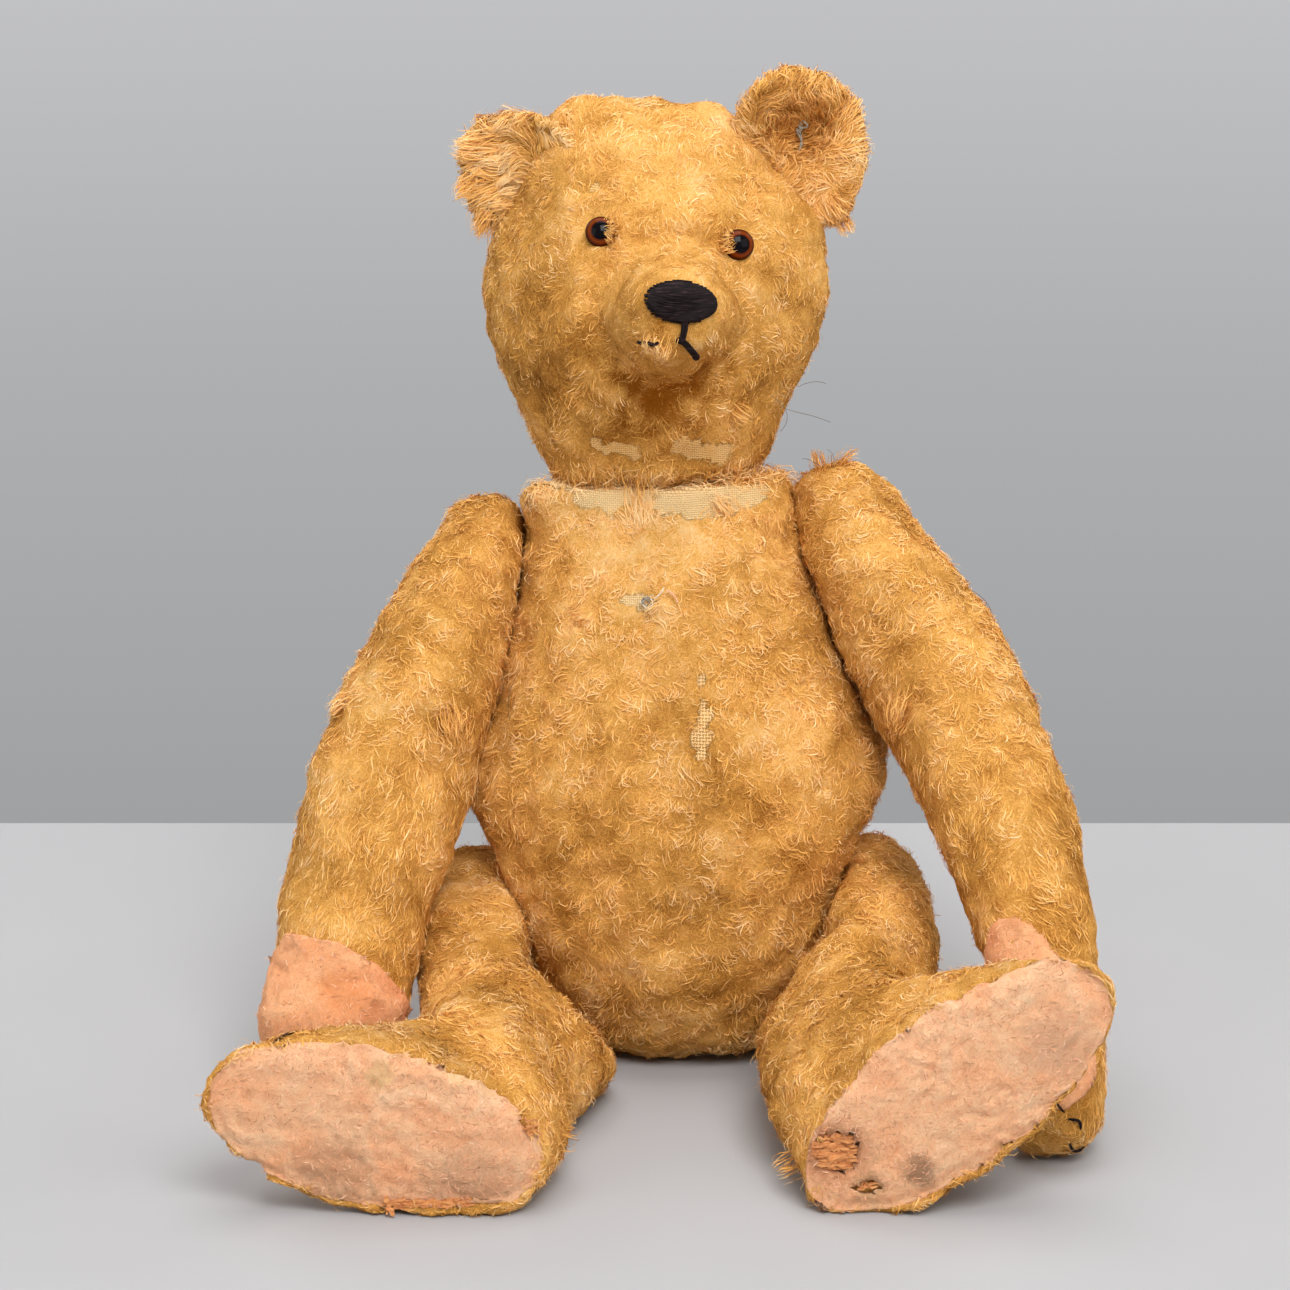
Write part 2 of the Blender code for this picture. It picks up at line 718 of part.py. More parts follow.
def face(head):
    """The satin-stitched nose, and the threads of the mouth below it."""
    pivot, frame = neck_point(), head_frame()
    outline = oval(*NOSE_SIZE, at=NOSE_AT, turn=-6)
    block = prism("outline_nose", outline, frame, pivot, 40, 80)
    overlay("nose_stitching", head, "thread", 1.2 * MM, block)
    stitches("lip_stitch", LIP, frame, pivot, head, THREAD / 2)
    stitches("mouth_stitch", MOUTH, frame, pivot, head, THREAD / 2)
    for side in ("left", "right"):
        eye(side, head)
        ear(side, head)


def build():
    for piece in list(bpy.data.objects):
        bpy.data.objects.remove(piece)
    body = cover_and_stuffing("body", body_shape, body_frame(), Vector())
    head = cover_and_stuffing("head", head_shape, head_frame(), neck_point())
    limbs = {"neck": head}
    face(head[0])
    for side in ("left", "right"):
        arm = cover_and_stuffing(
            "arm_" + side, lambda part: arm_shape(part, side), arm_frame(side), SHOULDERS[side]
        )
        leg = cover_and_stuffing(
            "leg_" + side, lambda part: leg_shape(part, side), leg_frame(side), HIPS[side]
        )
        limbs["shoulder_" + side] = arm
        limbs["hip_" + side] = leg
        paw_pad(side, arm[0])
        soles(side)
        claws = claw_route(arm_stations(side), *PAW_CLAWS[side])
        stitches("paw_claws_" + side, claws, arm_frame(side), SHOULDERS[side], arm[0], THREAD / 2)
        claws = claw_route(leg_stations(side), *FOOT_CLAWS)
        stitches("foot_claws_" + side, claws, leg_frame(side), HIPS[side], leg[0], THREAD / 2)
    for name, kind, pivot, axis in joints():
        disc_joint(name, kind, pivot, axis, body, limbs[name])


build()
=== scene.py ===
"""A threadbare, jointed mohair teddy bear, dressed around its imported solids.

The bear faces -Y and sits on its seat at the origin. "left" is the side of -X. Shapes are
worked out in millimetres and made in metres.
"""

import json
import math

import bmesh
import bpy
import numpy as np
from mathutils import Euler, Matrix, Vector
from mathutils.bvhtree import BVHTree
from mathutils.kdtree import KDTree


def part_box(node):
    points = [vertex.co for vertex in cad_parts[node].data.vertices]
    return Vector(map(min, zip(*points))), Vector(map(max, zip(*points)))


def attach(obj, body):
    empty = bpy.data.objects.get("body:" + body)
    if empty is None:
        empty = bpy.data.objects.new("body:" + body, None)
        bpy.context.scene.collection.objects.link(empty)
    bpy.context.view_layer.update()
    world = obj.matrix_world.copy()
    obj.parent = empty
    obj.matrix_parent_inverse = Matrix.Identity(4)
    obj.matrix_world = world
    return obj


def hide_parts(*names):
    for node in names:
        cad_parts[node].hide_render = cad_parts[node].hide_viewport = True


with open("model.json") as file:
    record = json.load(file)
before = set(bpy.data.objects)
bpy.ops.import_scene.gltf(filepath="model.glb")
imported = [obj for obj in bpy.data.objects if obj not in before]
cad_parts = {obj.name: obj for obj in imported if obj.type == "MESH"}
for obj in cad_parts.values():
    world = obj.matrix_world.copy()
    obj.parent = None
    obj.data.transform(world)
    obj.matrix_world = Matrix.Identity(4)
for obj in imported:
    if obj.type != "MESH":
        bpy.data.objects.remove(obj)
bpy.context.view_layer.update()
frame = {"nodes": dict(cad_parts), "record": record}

MM = 0.001
FLOOR_ROOM = 0.25
MOTTLE_WAVES = 12

# ------------------------------------------------------------------ what the bear is made of

BODY_OF = {
    "body": "torso", "head": "head", "ear_left": "head", "ear_right": "head",
    "arm_left": "arm_left", "arm_right": "arm_right",
    "leg_left": "leg_left", "leg_right": "leg_right",
}
COVER_OF = {
    "body": "body_cover", "head": "head_cover", "ear_left": "ear_left",
    "ear_right": "ear_right", "arm_left": "arm_left_cover", "arm_right": "arm_right_cover",
    "leg_left": "leg_left_cover", "leg_right": "leg_right_cover",
}

# The head's own frame: across, up and out through the nose.
HEAD_MIDDLE = np.array([-9.5, 43.0, 210.0])
HEAD_TURN = np.array(Euler((math.radians(-10), 0, math.radians(6))).to_matrix())
ACROSS, UP, FORWARD = HEAD_TURN[:, 0], HEAD_TURN[:, 2], -HEAD_TURN[:, 1]
# How far out along the head's axis a ray at the face starts.
BEFORE_FACE = 90

# The neck leans: its middle, and the way up it.
NECK_LEAN = Matrix.Rotation(math.radians(-3), 3, "Y") @ Matrix.Rotation(math.radians(-12), 3, "X")
NECK_UP = np.array(NECK_LEAN @ Vector((0, 0, 1)))
NECK = NECK_UP * 160


def on_head(x, y, z=0.0):
    """A point in the head's own millimetres, as a point of the whole bear."""
    return HEAD_MIDDLE + ACROSS * x + UP * y + FORWARD * z


# Where the pile has gone: a line on the cover and half the width that is bare round it.
BARE = {
    "head": [
        ((-26, 8, 172.5), (-15, 7, 170.5), 2), ((-3, 6.5, 172), (9, 11.5, 169), 2.6),
        ((-40.5, 37, 245.4), (-25.4, 18.6, 241.4), 0.8),
    ],
    "body": [
        ((-42, 24, 155.5), (-22, 11, 156.5), 5.2), ((-22, 11, 156.5), (-12, 8, 156), 3.4),
        ((-6, 7.5, 156), (10, 9, 156), 4.8), ((10, 9, 156), (18, 14, 157), 3.4),
        ((-17, -5.5, 131.4), (-11.5, -7, 130.8), 2.2), ((2.6, -15.3, 112.5), (3.9, -19.8, 102), 1.2),
        ((3.9, -19.8, 102), (3, -24.2, 93), 2.5),
    ],
}
# Where it is thin: the same, with the share of the pile that is left.
THIN = {
    "arm_left": [((-88, -12, 110), (-86, -16, 104), 6.5, 0.35)],
    "head": [((-30, 8, 176), (20, 22, 172), 7, 0.5)],
    "body": [((-44, 27, 154), (30, 27, 154), 7, 0.5), ((2.6, -8.8, 130), (4, -21, 90), 5, 0.6)],
    "ear_right": [((20, 34, 236), (34, 40, 240), 5, 0.5)],
    "ear_left": [((-34, 40, 262), (-30, 40, 250), 8, 0.35)],
}
# Stains, faded places and other lighter or darker places, with the painted shadow under the chin noted below:
# middle, radius, then how much darker (-) and how much redder (+).
MARKS = {
    "body": [
        ((-8, -6, 135), 34, 0.05, 0.04), ((-30, -4, 124), 5, -0.03, 0.3), ((38, -20, 60), 14, -0.08, 0.05),
        ((-12, 8, 158), 34, 0.1, 0.1), ((-8, -30, 70), 30, -0.05, -0.1), ((-50, 8, 60), 9, -0.2, 0.22),
        ((42, 4, 56), 9, -0.16, 0.18),
    ],
    "head": [
        # Painted shadow under the chin: (-8, -1, 184) and (-9.8, -0.3, 185).
        ((-5, -13, 225.5), 4, -0.14, 0.16), ((-8, -1, 184), 15, -0.24, 0.04), ((6, -2, 196), 9, -0.16, 0),
        ((-13.9, -8.2, 224.1), 3.5, 0.16, 0.04), ((-32, 4, 184), 5, -0.12, 0.34),
        ((-5, 15, 250), 32, 0.03, 0.14), ((-9.8, -0.3, 185), 7, -0.22, 0.05), ((-50, 30, 236), 14, -0.1, 0),
        ((-34, 8, 196), 22, -0.1, -0.1), ((24, 10, 190), 14, -0.08, -0.04),
        ((-10, -16, 203.5), 5, 0.1, -0.04), ((-42, 38, 250), 9, 0.02, 0.24),
        ((-15, 5, 168), 22, -0.04, -0.06),
    ],
    "arm_left": [
        ((-62, -16, 100), 7, -0.16, 0.22), ((-86, -14, 106), 10, 0.14, 0.12), ((-60, 2, 138), 8, -0.08, 0.22),
        ((-70, 10, 140), 30, -0.06, 0),
    ],
    "arm_right": [
        ((54, -20, 103), 7, -0.16, 0.24), ((44, -2, 130), 7, -0.12, 0.2), ((100, -50, 70), 34, -0.09, 0),
        ((62, 16, 146), 16, -0.05, 0.05),
    ],
    "leg_left": [
        ((-63.9, -56.5, 38.3), 11, -0.1, 0.34), ((-88, -70, 40), 12, 0.06, 0.1),
        ((-78, -112, 46), 22, 0.05, -0.24), ((-45, -60, 44), 26, -0.02, -0.14),
        ((-74, -20, 44), 9, -0.12, 0.26),
    ],
    "leg_right": [
        ((45, -11, 49), 12, -0.22, 0.48), ((53, -28, 53), 11, -0.12, 0.24), ((42, -15, 38), 9, -0.14, 0.26),
        ((40, -80, 40), 24, -0.02, -0.14),
    ],
    "ear_left": [((-40, 44, 240), 22, -0.02, 0.12), ((-58, 44, 232), 12, -0.12, -0.04)],
    "ear_right": [
        ((31, 44, 256), 12, -0.15, 0.42), ((50, 44, 246), 12, 0.1, 0.04), ((36, 41, 234), 9, 0.12, 0.22),
    ],
}


# ------------------------------------------------------------------ numbers


def dice(name):
    """Random numbers that are the same for a piece on every run."""
    return np.random.default_rng(sum(ord(letter) * (k + 3) for k, letter in enumerate(name)))


def unit(vectors):
    return vectors / np.maximum(np.linalg.norm(vectors, axis=-1, keepdims=True), 1e-9)


def mottle(points, name, size):
    """A smooth random value at each point, of about one, that changes over the size."""
    rng = dice(name)
    turns = unit(rng.normal(size=(MOTTLE_WAVES, 3))) * rng.uniform(0.6, 1.5, (MOTTLE_WAVES, 1))
    phase = rng.uniform(0, math.tau, MOTTLE_WAVES)
    return np.sin(points @ turns.T * (math.tau / size) + phase).sum(1) * math.sqrt(2 / MOTTLE_WAVES)


def swirl(points, name, size):
    """A smooth random direction at each point."""
    return np.stack([mottle(points, name + axis, size) for axis in "xyz"], 1)


def near_line(points, start, end):
    """How far each point is from a straight line between two points."""
    start, end = np.array(start, float), np.array(end, float)
    along = end - start
    share = np.clip((points - start) @ along / max(along @ along, 1e-9), 0, 1)
    return np.linalg.norm(points - start - share[:, None] * along, axis=1)


def smoothstep(value, low, high):
    share = np.clip((value - low) / (high - low), 0, 1)
    return share * share * (3 - 2 * share)


def along_cover(ways, normals):
    """Directions with what points out of the surface taken off."""
    return ways - normals * np.einsum("ij,ij->i", ways, normals)[:, None]


def round_neck(points):
    """How far up the neck points are, and which way is out from its middle."""
    out = points - NECK
    height = out @ NECK_UP
    return height, unit(out - height[:, None] * NECK_UP)


def bare_share(part, points):
    """1 where a part's backing shows and 0 where its pile is whole, with ragged edges."""
    bare = np.zeros(len(points))
    ragged = 0.5 * mottle(points, part + "ragged", 3.1) + 0.5 * mottle(points, part + "worn", 7.0)
    for start, end, half in BARE.get(part, []):
        edge = near_line(points, start, end) / half + 0.28 * ragged
        bare = np.maximum(bare, 1 - smoothstep(edge, 0.85, 1.25))
    return bare


def thin_share(part, points):
    """The share of the pile that is left at each point."""
    left = np.ones(len(points))
    for start, end, half, share in THIN.get(part, []):
        near = 1 - smoothstep(near_line(points, start, end) / half, 0.6, 1.5)
        left *= 1 - near * (1 - share)
    return left


def marks_at(part, points):
    """How much lighter and how much redder each point is than the rest of its part."""
    shade, warmth = np.zeros(len(points)), np.zeros(len(points))
    for middle, radius, lighter, redder in MARKS.get(part, []):
        far = np.linalg.norm(points - np.array(middle), axis=1) / radius
        near = 1 - smoothstep(far + 0.18 * mottle(points, part + "mark", 6.0), 0.35, 1.3)
        shade += near * lighter
        warmth += near * redder
    return shade, warmth


# ------------------------------------------------------------------ materials


def new_material(name, roughness, specular=0.5, sheen=0.0, sheen_tint=(1.0, 0.8, 0.5)):
    finish = bpy.data.materials.new(name)
    finish.use_nodes = True
    shader = finish.node_tree.nodes["Principled BSDF"]
    shader.inputs["Roughness"].default_value = roughness
    shader.inputs["Specular IOR Level"].default_value = specular
    if sheen:
        shader.inputs["Sheen Weight"].default_value = sheen
        shader.inputs["Sheen Roughness"].default_value = 0.5
        shader.inputs["Sheen Tint"].default_value = (*sheen_tint, 1.0)
    return finish, finish.node_tree, shader


def add(tree, kind, **settings):
    """A node with its own settings and the values of its sockets."""
    node = tree.nodes.new("ShaderNode" + kind)
    for name, value in settings.items():
        if hasattr(node, name):
            setattr(node, name, value)
        else:
            node.inputs[name.replace("_", " ")].default_value = value
    return node


def maths(tree, operation, first, second=None, clamp=False):
    node = tree.nodes.new("ShaderNodeMath")
    node.operation = operation
    node.use_clamp = clamp
    for socket, value in zip(node.inputs, (first, second)):
        if value is None:
            continue
        if isinstance(value, (int, float)):
            socket.default_value = value
        else:
            tree.links.new(value, socket)
    return node.outputs[0]


def ramp(tree, value, stops):
    """A colour ramp from (place, colour) stops."""
    node = tree.nodes.new("ShaderNodeValToRGB")
    band = node.color_ramp.elements
    band[0].position, band[1].position = stops[0][0], stops[-1][0]
    for place, _ in stops[1:-1]:
        band.new(place)
    for element, (_, colour) in zip(band, stops):
        element.color = (*colour, 1.0)
    tree.links.new(value, node.inputs[0])
    return node.outputs[0]


def blended(tree, share, first, second, kind="MIX"):
    """Two colours mixed by a share, each a socket or a plain colour."""
    node = tree.nodes.new("ShaderNodeMix")
    node.data_type = "RGBA"
    node.blend_type = kind
    for socket, value in ((node.inputs[0], share), (node.inputs[6], first), (node.inputs[7], second)):
        if isinstance(value, (int, float)):
            socket.default_value = value
        elif isinstance(value, tuple):
            socket.default_value = (*value, 1.0)
        else:
            tree.links.new(value, socket)
    return node.outputs[2]


def own_place(tree, stretch=(1.0, 1.0, 1.0), turn=(0.0, 0.0, 0.0), middle=(0.0, 0.0, 0.0)):
    """The piece's own coordinates, in mm round a middle, turned and stretched."""
    place = tree.nodes.new("ShaderNodeTexCoord").outputs["Object"]
    move = add(tree, "Mapping", vector_type="TEXTURE")
    move.inputs["Location"].default_value = Vector(middle) * MM
    move.inputs["Rotation"].default_value = turn
    move.inputs["Scale"].default_value = Vector(stretch) * MM
    tree.links.new(place, move.inputs["Vector"])
    return move.outputs[0]


def noise(tree, place, scale, detail=3.0, roughness=0.5, distortion=0.0):
    node = add(tree, "TexNoise", Scale=scale, Detail=detail, Roughness=roughness, Distortion=distortion)
    tree.links.new(place, node.inputs["Vector"])
    return node.outputs["Fac"]


def times(tree, first, second):
    return maths(tree, "MULTIPLY", first, second)


def plus(tree, first, second):
    return maths(tree, "ADD", first, second)


def swing(tree, value, middle, size):
    """How far a value is from its middle, scaled by a size."""
    return times(tree, maths(tree, "SUBTRACT", value, middle), size)


def three_of(tree, place):
    """The three numbers of a vector."""
    parts = tree.nodes.new("ShaderNodeSeparateXYZ")
    tree.links.new(place, parts.inputs[0])
    return parts.outputs


def kept_tone(tree):
    """The shade and warmth that a fibre keeps as its map."""
    spot = tree.nodes.new("ShaderNodeUVMap")
    spot.uv_map = "OFBake"
    return three_of(tree, spot.outputs[0])


def ball_at(tree, place):
    """1 at the middle of a place and 0 from a distance of one on."""
    ball = add(tree, "TexGradient", gradient_type="SPHERICAL")
    tree.links.new(place, ball.inputs[0])
    return ball.outputs["Fac"]


def painted(tree, shader, colour):
    tree.links.new(colour, shader.inputs["Base Color"])


def raised(tree, shader, height, distance, strength=1.0):
    """Relief from a height, with the distance in mm."""
    bump = add(tree, "Bump", Strength=strength, Distance=distance * MM)
    tree.links.new(height, bump.inputs["Height"])
    tree.links.new(bump.outputs[0], shader.inputs["Normal"])


def attribute(tree, name):
    node = tree.nodes.new("ShaderNodeAttribute")
    node.attribute_name = name
    return node.outputs["Fac"]


def woven(tree, place, pitch):
    """A plain weave: its height, from the two sets of threads going over and under."""
    parts = three_of(tree, place)
    waves = [maths(tree, "SINE", times(tree, parts[axis], math.pi / pitch)) for axis in (0, 2)]
    over = maths(tree, "SIGN", times(tree, *waves))
    tops = [maths(tree, "ABSOLUTE", wave) for wave in waves]
    lift = times(tree, over, 0.22)
    warp = times(tree, tops[0], maths(tree, "SUBTRACT", 0.72, lift))
    weft = times(tree, tops[1], plus(tree, 0.78, lift))
    return maths(tree, "MAXIMUM", warp, weft)


# Colours of the pile from dark at the root to pale at the tip, for five kinds: greyed by
# dirt, matted, golden, bright where it was kept from the light, and stained.
PILE_DARK = [(0.0, (0.16, 0.050, 0.004)), (0.25, (0.23, 0.068, 0.004)), (0.5, (0.33, 0.100, 0.006)),
             (0.75, (0.46, 0.155, 0.016)), (1.0, (0.17, 0.036, 0.004))]
PILE_MIDDLE = [(0.0, (0.54, 0.268, 0.064)), (0.25, (0.68, 0.332, 0.070)), (0.5, (0.85, 0.438, 0.106)),
               (0.75, (0.95, 0.515, 0.155)), (1.0, (0.50, 0.160, 0.018))]
PILE_PALE = [(0.0, (0.82, 0.580, 0.330)), (0.25, (0.94, 0.670, 0.370)), (0.5, (0.98, 0.730, 0.390)),
             (0.75, (0.99, 0.770, 0.430)), (1.0, (0.84, 0.400, 0.100))]


def pile_colour(tree, shade, warmth):
    """The pile's colour from its shade, root to tip, and its warmth, dirty to stained."""
    dark, middle, pale = (ramp(tree, warmth, band) for band in (PILE_DARK, PILE_MIDDLE, PILE_PALE))
    low = maths(tree, "MULTIPLY", shade, 2.0, clamp=True)
    high = maths(tree, "SUBTRACT", times(tree, shade, 2.0), 1.0, clamp=True)
    return blended(tree, high, blended(tree, low, dark, middle), pale)


def pile_material():
    """Each lock reads its own shade and warmth, kept as its map."""
    finish, tree, shader = new_material("worn_mohair_pile", 0.8, 0.05)
    shade, warmth, _ = kept_tone(tree)
    painted(tree, shader, pile_colour(tree, shade, warmth))
    return finish


def matted(tree):
    """The matted ground: fine fibres that curl round each other, in two sizes."""
    place = own_place(tree)
    curls = noise(tree, place, 0.75, 5, 0.68, 3.2)
    fine = noise(tree, own_place(tree, middle=(5, 9, 2)), 2.1, 3, 0.7, 1.6)
    return plus(tree, times(tree, curls, 0.75), times(tree, fine, 0.45))


# Threads of the backing from the gaps between them to their tops: the close weave, and the
# open one of the belly, below a height. The head's, above another, is painted darker and
# warmer, as shade under the head.
TIGHT_WEAVE = [(0.25, (0.80, 0.43, 0.16)), (0.5, (1.0, 0.66, 0.30)), (0.9, (1.0, 0.76, 0.40))]
LOOSE_WEAVE = [(0.30, (0.44, 0.22, 0.07)), (0.46, (0.80, 0.48, 0.19)), (0.9, (0.98, 0.67, 0.34))]
LOOSE_BELOW, HEAD_ABOVE, HEAD_WEAVE_SHADE = 120.0, 164.0, (0.98, 0.88, 0.74)
CLOSE_PITCH, OPEN_PITCH = 0.56, 0.84


def backing_material():
    """Matted ground pile, worn through to the woven backing where the cover says so."""
    finish, tree, shader = new_material("matted_mohair_and_backing", 0.9, 0.05)
    place = own_place(tree)
    fibres = matted(tree)
    tufts = noise(tree, place, 0.17, 2, 0.5)
    shade = plus(tree, attribute(tree, "shade"), swing(tree, fibres, 0.6, 1.6))
    shade = plus(tree, shade, swing(tree, tufts, 0.5, 0.5))
    pile = pile_colour(tree, shade, attribute(tree, "warmth"))
    close, open_net = woven(tree, place, CLOSE_PITCH), woven(tree, place, OPEN_PITCH)
    uneven = noise(tree, place, 0.3, 3, 0.6)
    tight = ramp(tree, close, TIGHT_WEAVE)
    loose = ramp(tree, open_net, LOOSE_WEAVE)
    height = three_of(tree, place)[2]
    below = maths(tree, "LESS_THAN", height, LOOSE_BELOW)
    thread = blended(tree, below, tight, loose)
    around = pile_colour(tree, plus(tree, attribute(tree, "shade"), 0.24), attribute(tree, "warmth"))
    thread = blended(tree, plus(tree, times(tree, uneven, 0.6), 0.05), thread, around)
    # Above HEAD_ABOVE the threads are multiplied darker and warmer: painted shade under the head.
    above = maths(tree, "GREATER_THAN", height, HEAD_ABOVE)
    thread = blended(tree, above, thread, blended(tree, 1.0, thread, HEAD_WEAVE_SHADE, "MULTIPLY"))
    weave = blended(tree, below, close, open_net)
    fringe = plus(tree, attribute(tree, "bare"), swing(tree, noise(tree, place, 0.9, 5, 0.75, 1.5), 0.5, 1.5))
    bare = ramp(tree, fringe, [(0.42, (0, 0, 0)), (0.60, (1, 1, 1))])
    painted(tree, shader, blended(tree, bare, pile, thread))
    relief = blended(tree, bare, plus(tree, fibres, times(tree, tufts, 2.0)), weave)
    raised(tree, shader, relief, 0.7, 0.9)
    return finish


# The felt's colour as it fades in broad patches, and how its fibres lighten and darken it.
FELT_FADING = [(0.30, (0.97, 0.455, 0.225)), (0.48, (1.0, 0.545, 0.295)), (0.70, (1.0, 0.640, 0.380))]
FELT_FIBRES = [(0.28, (0.56, 0.47, 0.42)), (0.42, (0.92, 0.90, 0.89)), (0.52, (1.04, 1.04, 1.04)),
               (0.76, (1.16, 1.22, 1.28))]


def felt_material(name, wear, tint=(1.0, 1.0, 1.0)):
    """Faded peach felt: matted fibres, pilling, dark specks, painted shade in its creases, dirt and yellowed
    worn places.
    """
    finish, tree, shader = new_material(name, 0.95, 0.1, 0.12, (1.0, 0.7, 0.5))
    place = own_place(tree)
    broad = noise(tree, place, 0.07, 4, 0.6, 0.8)
    fine = noise(tree, place, 1.0, 6, 0.78, 2.6)
    colour = blended(tree, 1.0, ramp(tree, broad, FELT_FADING), ramp(tree, fine, FELT_FIBRES), "MULTIPLY")
    # The creases are sunk in the relief and painted darker as shade.
    creased = noise(tree, own_place(tree, (1.9, 1.0, 0.8), middle=(3, 1, 8)), 0.46, 4, 0.65, 1.4)
    dents_and_shade = ramp(tree, creased, [(0.31, (1, 1, 1)), (0.37, (0, 0, 0))])
    colour = blended(tree, times(tree, dents_and_shade, 0.45), colour, (0.58, 0.26, 0.12))
    specks = ramp(tree, noise(tree, place, 0.62, 4, 0.65), [(0.70, (0, 0, 0)), (0.76, (1, 1, 1))])
    colour = blended(tree, times(tree, specks, 0.55), colour, (0.22, 0.12, 0.07))
    pale = ramp(tree, noise(tree, own_place(tree, middle=(31, 7, 3)), 0.33, 3, 0.6),
                [(0.64, (0, 0, 0)), (0.76, (1, 1, 1))])
    colour = blended(tree, times(tree, pale, 0.5), colour, (0.92, 0.62, 0.40))
    for spot, radius, stain, share in wear:
        ball = ball_at(tree, own_place(tree, (radius,) * 3, middle=spot))
        ragged = plus(tree, ball, swing(tree, noise(tree, place, 0.5, 4, 0.7), 0.5, 0.8))
        cover = ramp(tree, ragged, [(0.15, (0, 0, 0)), (0.6, (share,) * 3)])
        colour = blended(tree, cover, colour, stain)
    painted(tree, shader, blended(tree, 1.0, colour, tint, "MULTIPLY"))
    height = plus(tree, fine, times(tree, broad, 2.0))
    height = maths(tree, "SUBTRACT", height, times(tree, dents_and_shade, 0.5))
    raised(tree, shader, height, 0.6, 1.0)
    return finish


def fluff_material():
    """Loose felt fibres: each reads its own shade, kept as its map."""
    finish, tree, shader = new_material("peach_felt_fluff", 0.9)
    stops = [(0.1, (0.52, 0.22, 0.11)), (0.45, (0.90, 0.43, 0.23)), (0.9, (1.0, 0.66, 0.44))]
    painted(tree, shader, ramp(tree, kept_tone(tree)[0], stops))
    return finish


def plain_fibre(name, dark, pale, roughness=0.8, scale=0.8, sheen=0.1, stretch=(1, 1, 1), relief=0.15):
    """A thread, hair, wood or board: two colours mixed by fine uneven noise."""
    finish, tree, shader = new_material(name, roughness, sheen=sheen)
    place = own_place(tree, stretch)
    value = noise(tree, place, scale, 4, 0.65)
    painted(tree, shader, ramp(tree, value, [(0.33, dark), (0.68, pale)]))
    raised(tree, shader, value, relief, 0.6)
    return finish


# An eye's colours from its rim to its pupil.
IRIS = [(0.02, (0.008, 0.002, 0.001)), (0.13, (0.070, 0.010, 0.001)), (0.28, (0.190, 0.034, 0.003)),
        (0.42, (0.080, 0.012, 0.001)), (0.47, (0.003, 0.002, 0.003))]


def glass_material(name, middle, axis):
    """A glass eye: black pupil, brown iris darker at its rim, under a clear dome."""
    finish, tree, shader = new_material(name, 0.25, 0.0)
    shader.inputs["Coat Weight"].default_value = 0.42
    shader.inputs["Coat Roughness"].default_value = 0.04
    shader.inputs["Coat IOR"].default_value = 1.3
    turn = Vector(axis).to_track_quat("Z", "Y").to_euler()
    place = own_place(tree, (EYE_RADIUS, EYE_RADIUS, 50.0), turn, middle)
    grain = noise(tree, own_place(tree), 1.2, 3, 0.6)
    edge = plus(tree, ball_at(tree, place), times(tree, grain, 0.05))
    painted(tree, shader, ramp(tree, edge, IRIS))
    return finish


def thread_material():
    """Black cotton, faded to a purplish brown on some of its threads."""
    finish, tree, shader = new_material("black_stitching_thread", 0.7, 0.12)
    place = own_place(tree, (3.5, 3.5, 0.45))
    value = noise(tree, place, 1.0, 4, 0.6)
    stops = [(0.36, (0.0035, 0.0018, 0.0020)), (0.56, (0.012, 0.0065, 0.0070)), (0.72, (0.050, 0.028, 0.028))]
    painted(tree, shader, ramp(tree, value, stops))
    raised(tree, shader, value, 0.2, 0.8)
    return finish


def steel_material():
    finish, tree, shader = new_material("rusted_steel", 0.5)
    shader.inputs["Metallic"].default_value = 0.9
    rust = noise(tree, own_place(tree), 0.6, 5, 0.7)
    painted(tree, shader, ramp(tree, rust, [(0.4, (0.42, 0.40, 0.38)), (0.62, (0.20, 0.10, 0.05))]))
    raised(tree, shader, rust, 0.1)
    return finish


# ------------------------------------------------------------------ the covers' surfaces


def merged_solid(*nodes):
    """CAD nodes' own surfaces with their doubles merged, in one shape."""
    shape = bmesh.new()
    for node in nodes:
        shape.from_mesh(frame["nodes"][node].data)
    bmesh.ops.remove_doubles(shape, verts=shape.verts, dist=0.01 * MM)
    return shape


# Rays sent out from each face, and the share of them that get away where it is outside.
RAYS, FREE_OUTSIDE = 48, 0.22


def outer_shape(node, *closing):
    """A cover's outer surface alone, its pin holes and its mouth closed."""
    blockers = BVHTree.FromBMesh(merged_solid(node, *closing))
    spread = [Vector(ray).normalized() for ray in dice("rays").normal(size=(RAYS, 3))]
    shape = merged_solid(node)
    hidden = []
    for face in shape.faces:
        start = face.calc_center_median() + face.normal * 0.2 * MM
        rays = [ray for ray in spread if ray.dot(face.normal) > 0.15]
        free = sum(blockers.ray_cast(start, ray)[0] is None for ray in rays)
        if free < FREE_OUTSIDE * len(rays):
            hidden.append(face)
    bmesh.ops.delete(shape, geom=hidden, context="FACES")
    bmesh.ops.holes_fill(shape, edges=[edge for edge in shape.edges if edge.is_boundary], sides=0)
    open_edges = [edge for edge in shape.edges if edge.is_boundary]
    if open_edges:
        bmesh.ops.triangle_fill(shape, edges=open_edges, use_beauty=True)
    bmesh.ops.triangulate(shape, faces=shape.faces)
    return shape


def linked(name, mesh):
    piece = bpy.data.objects.new(name, mesh)
    bpy.context.scene.collection.objects.link(piece)
    return piece


def linked_shape(name, shape):
    """A piece from a bmesh shape, which is freed."""
    mesh = bpy.data.meshes.new(name)
    shape.to_mesh(mesh)
    shape.free()
    return linked(name, mesh)


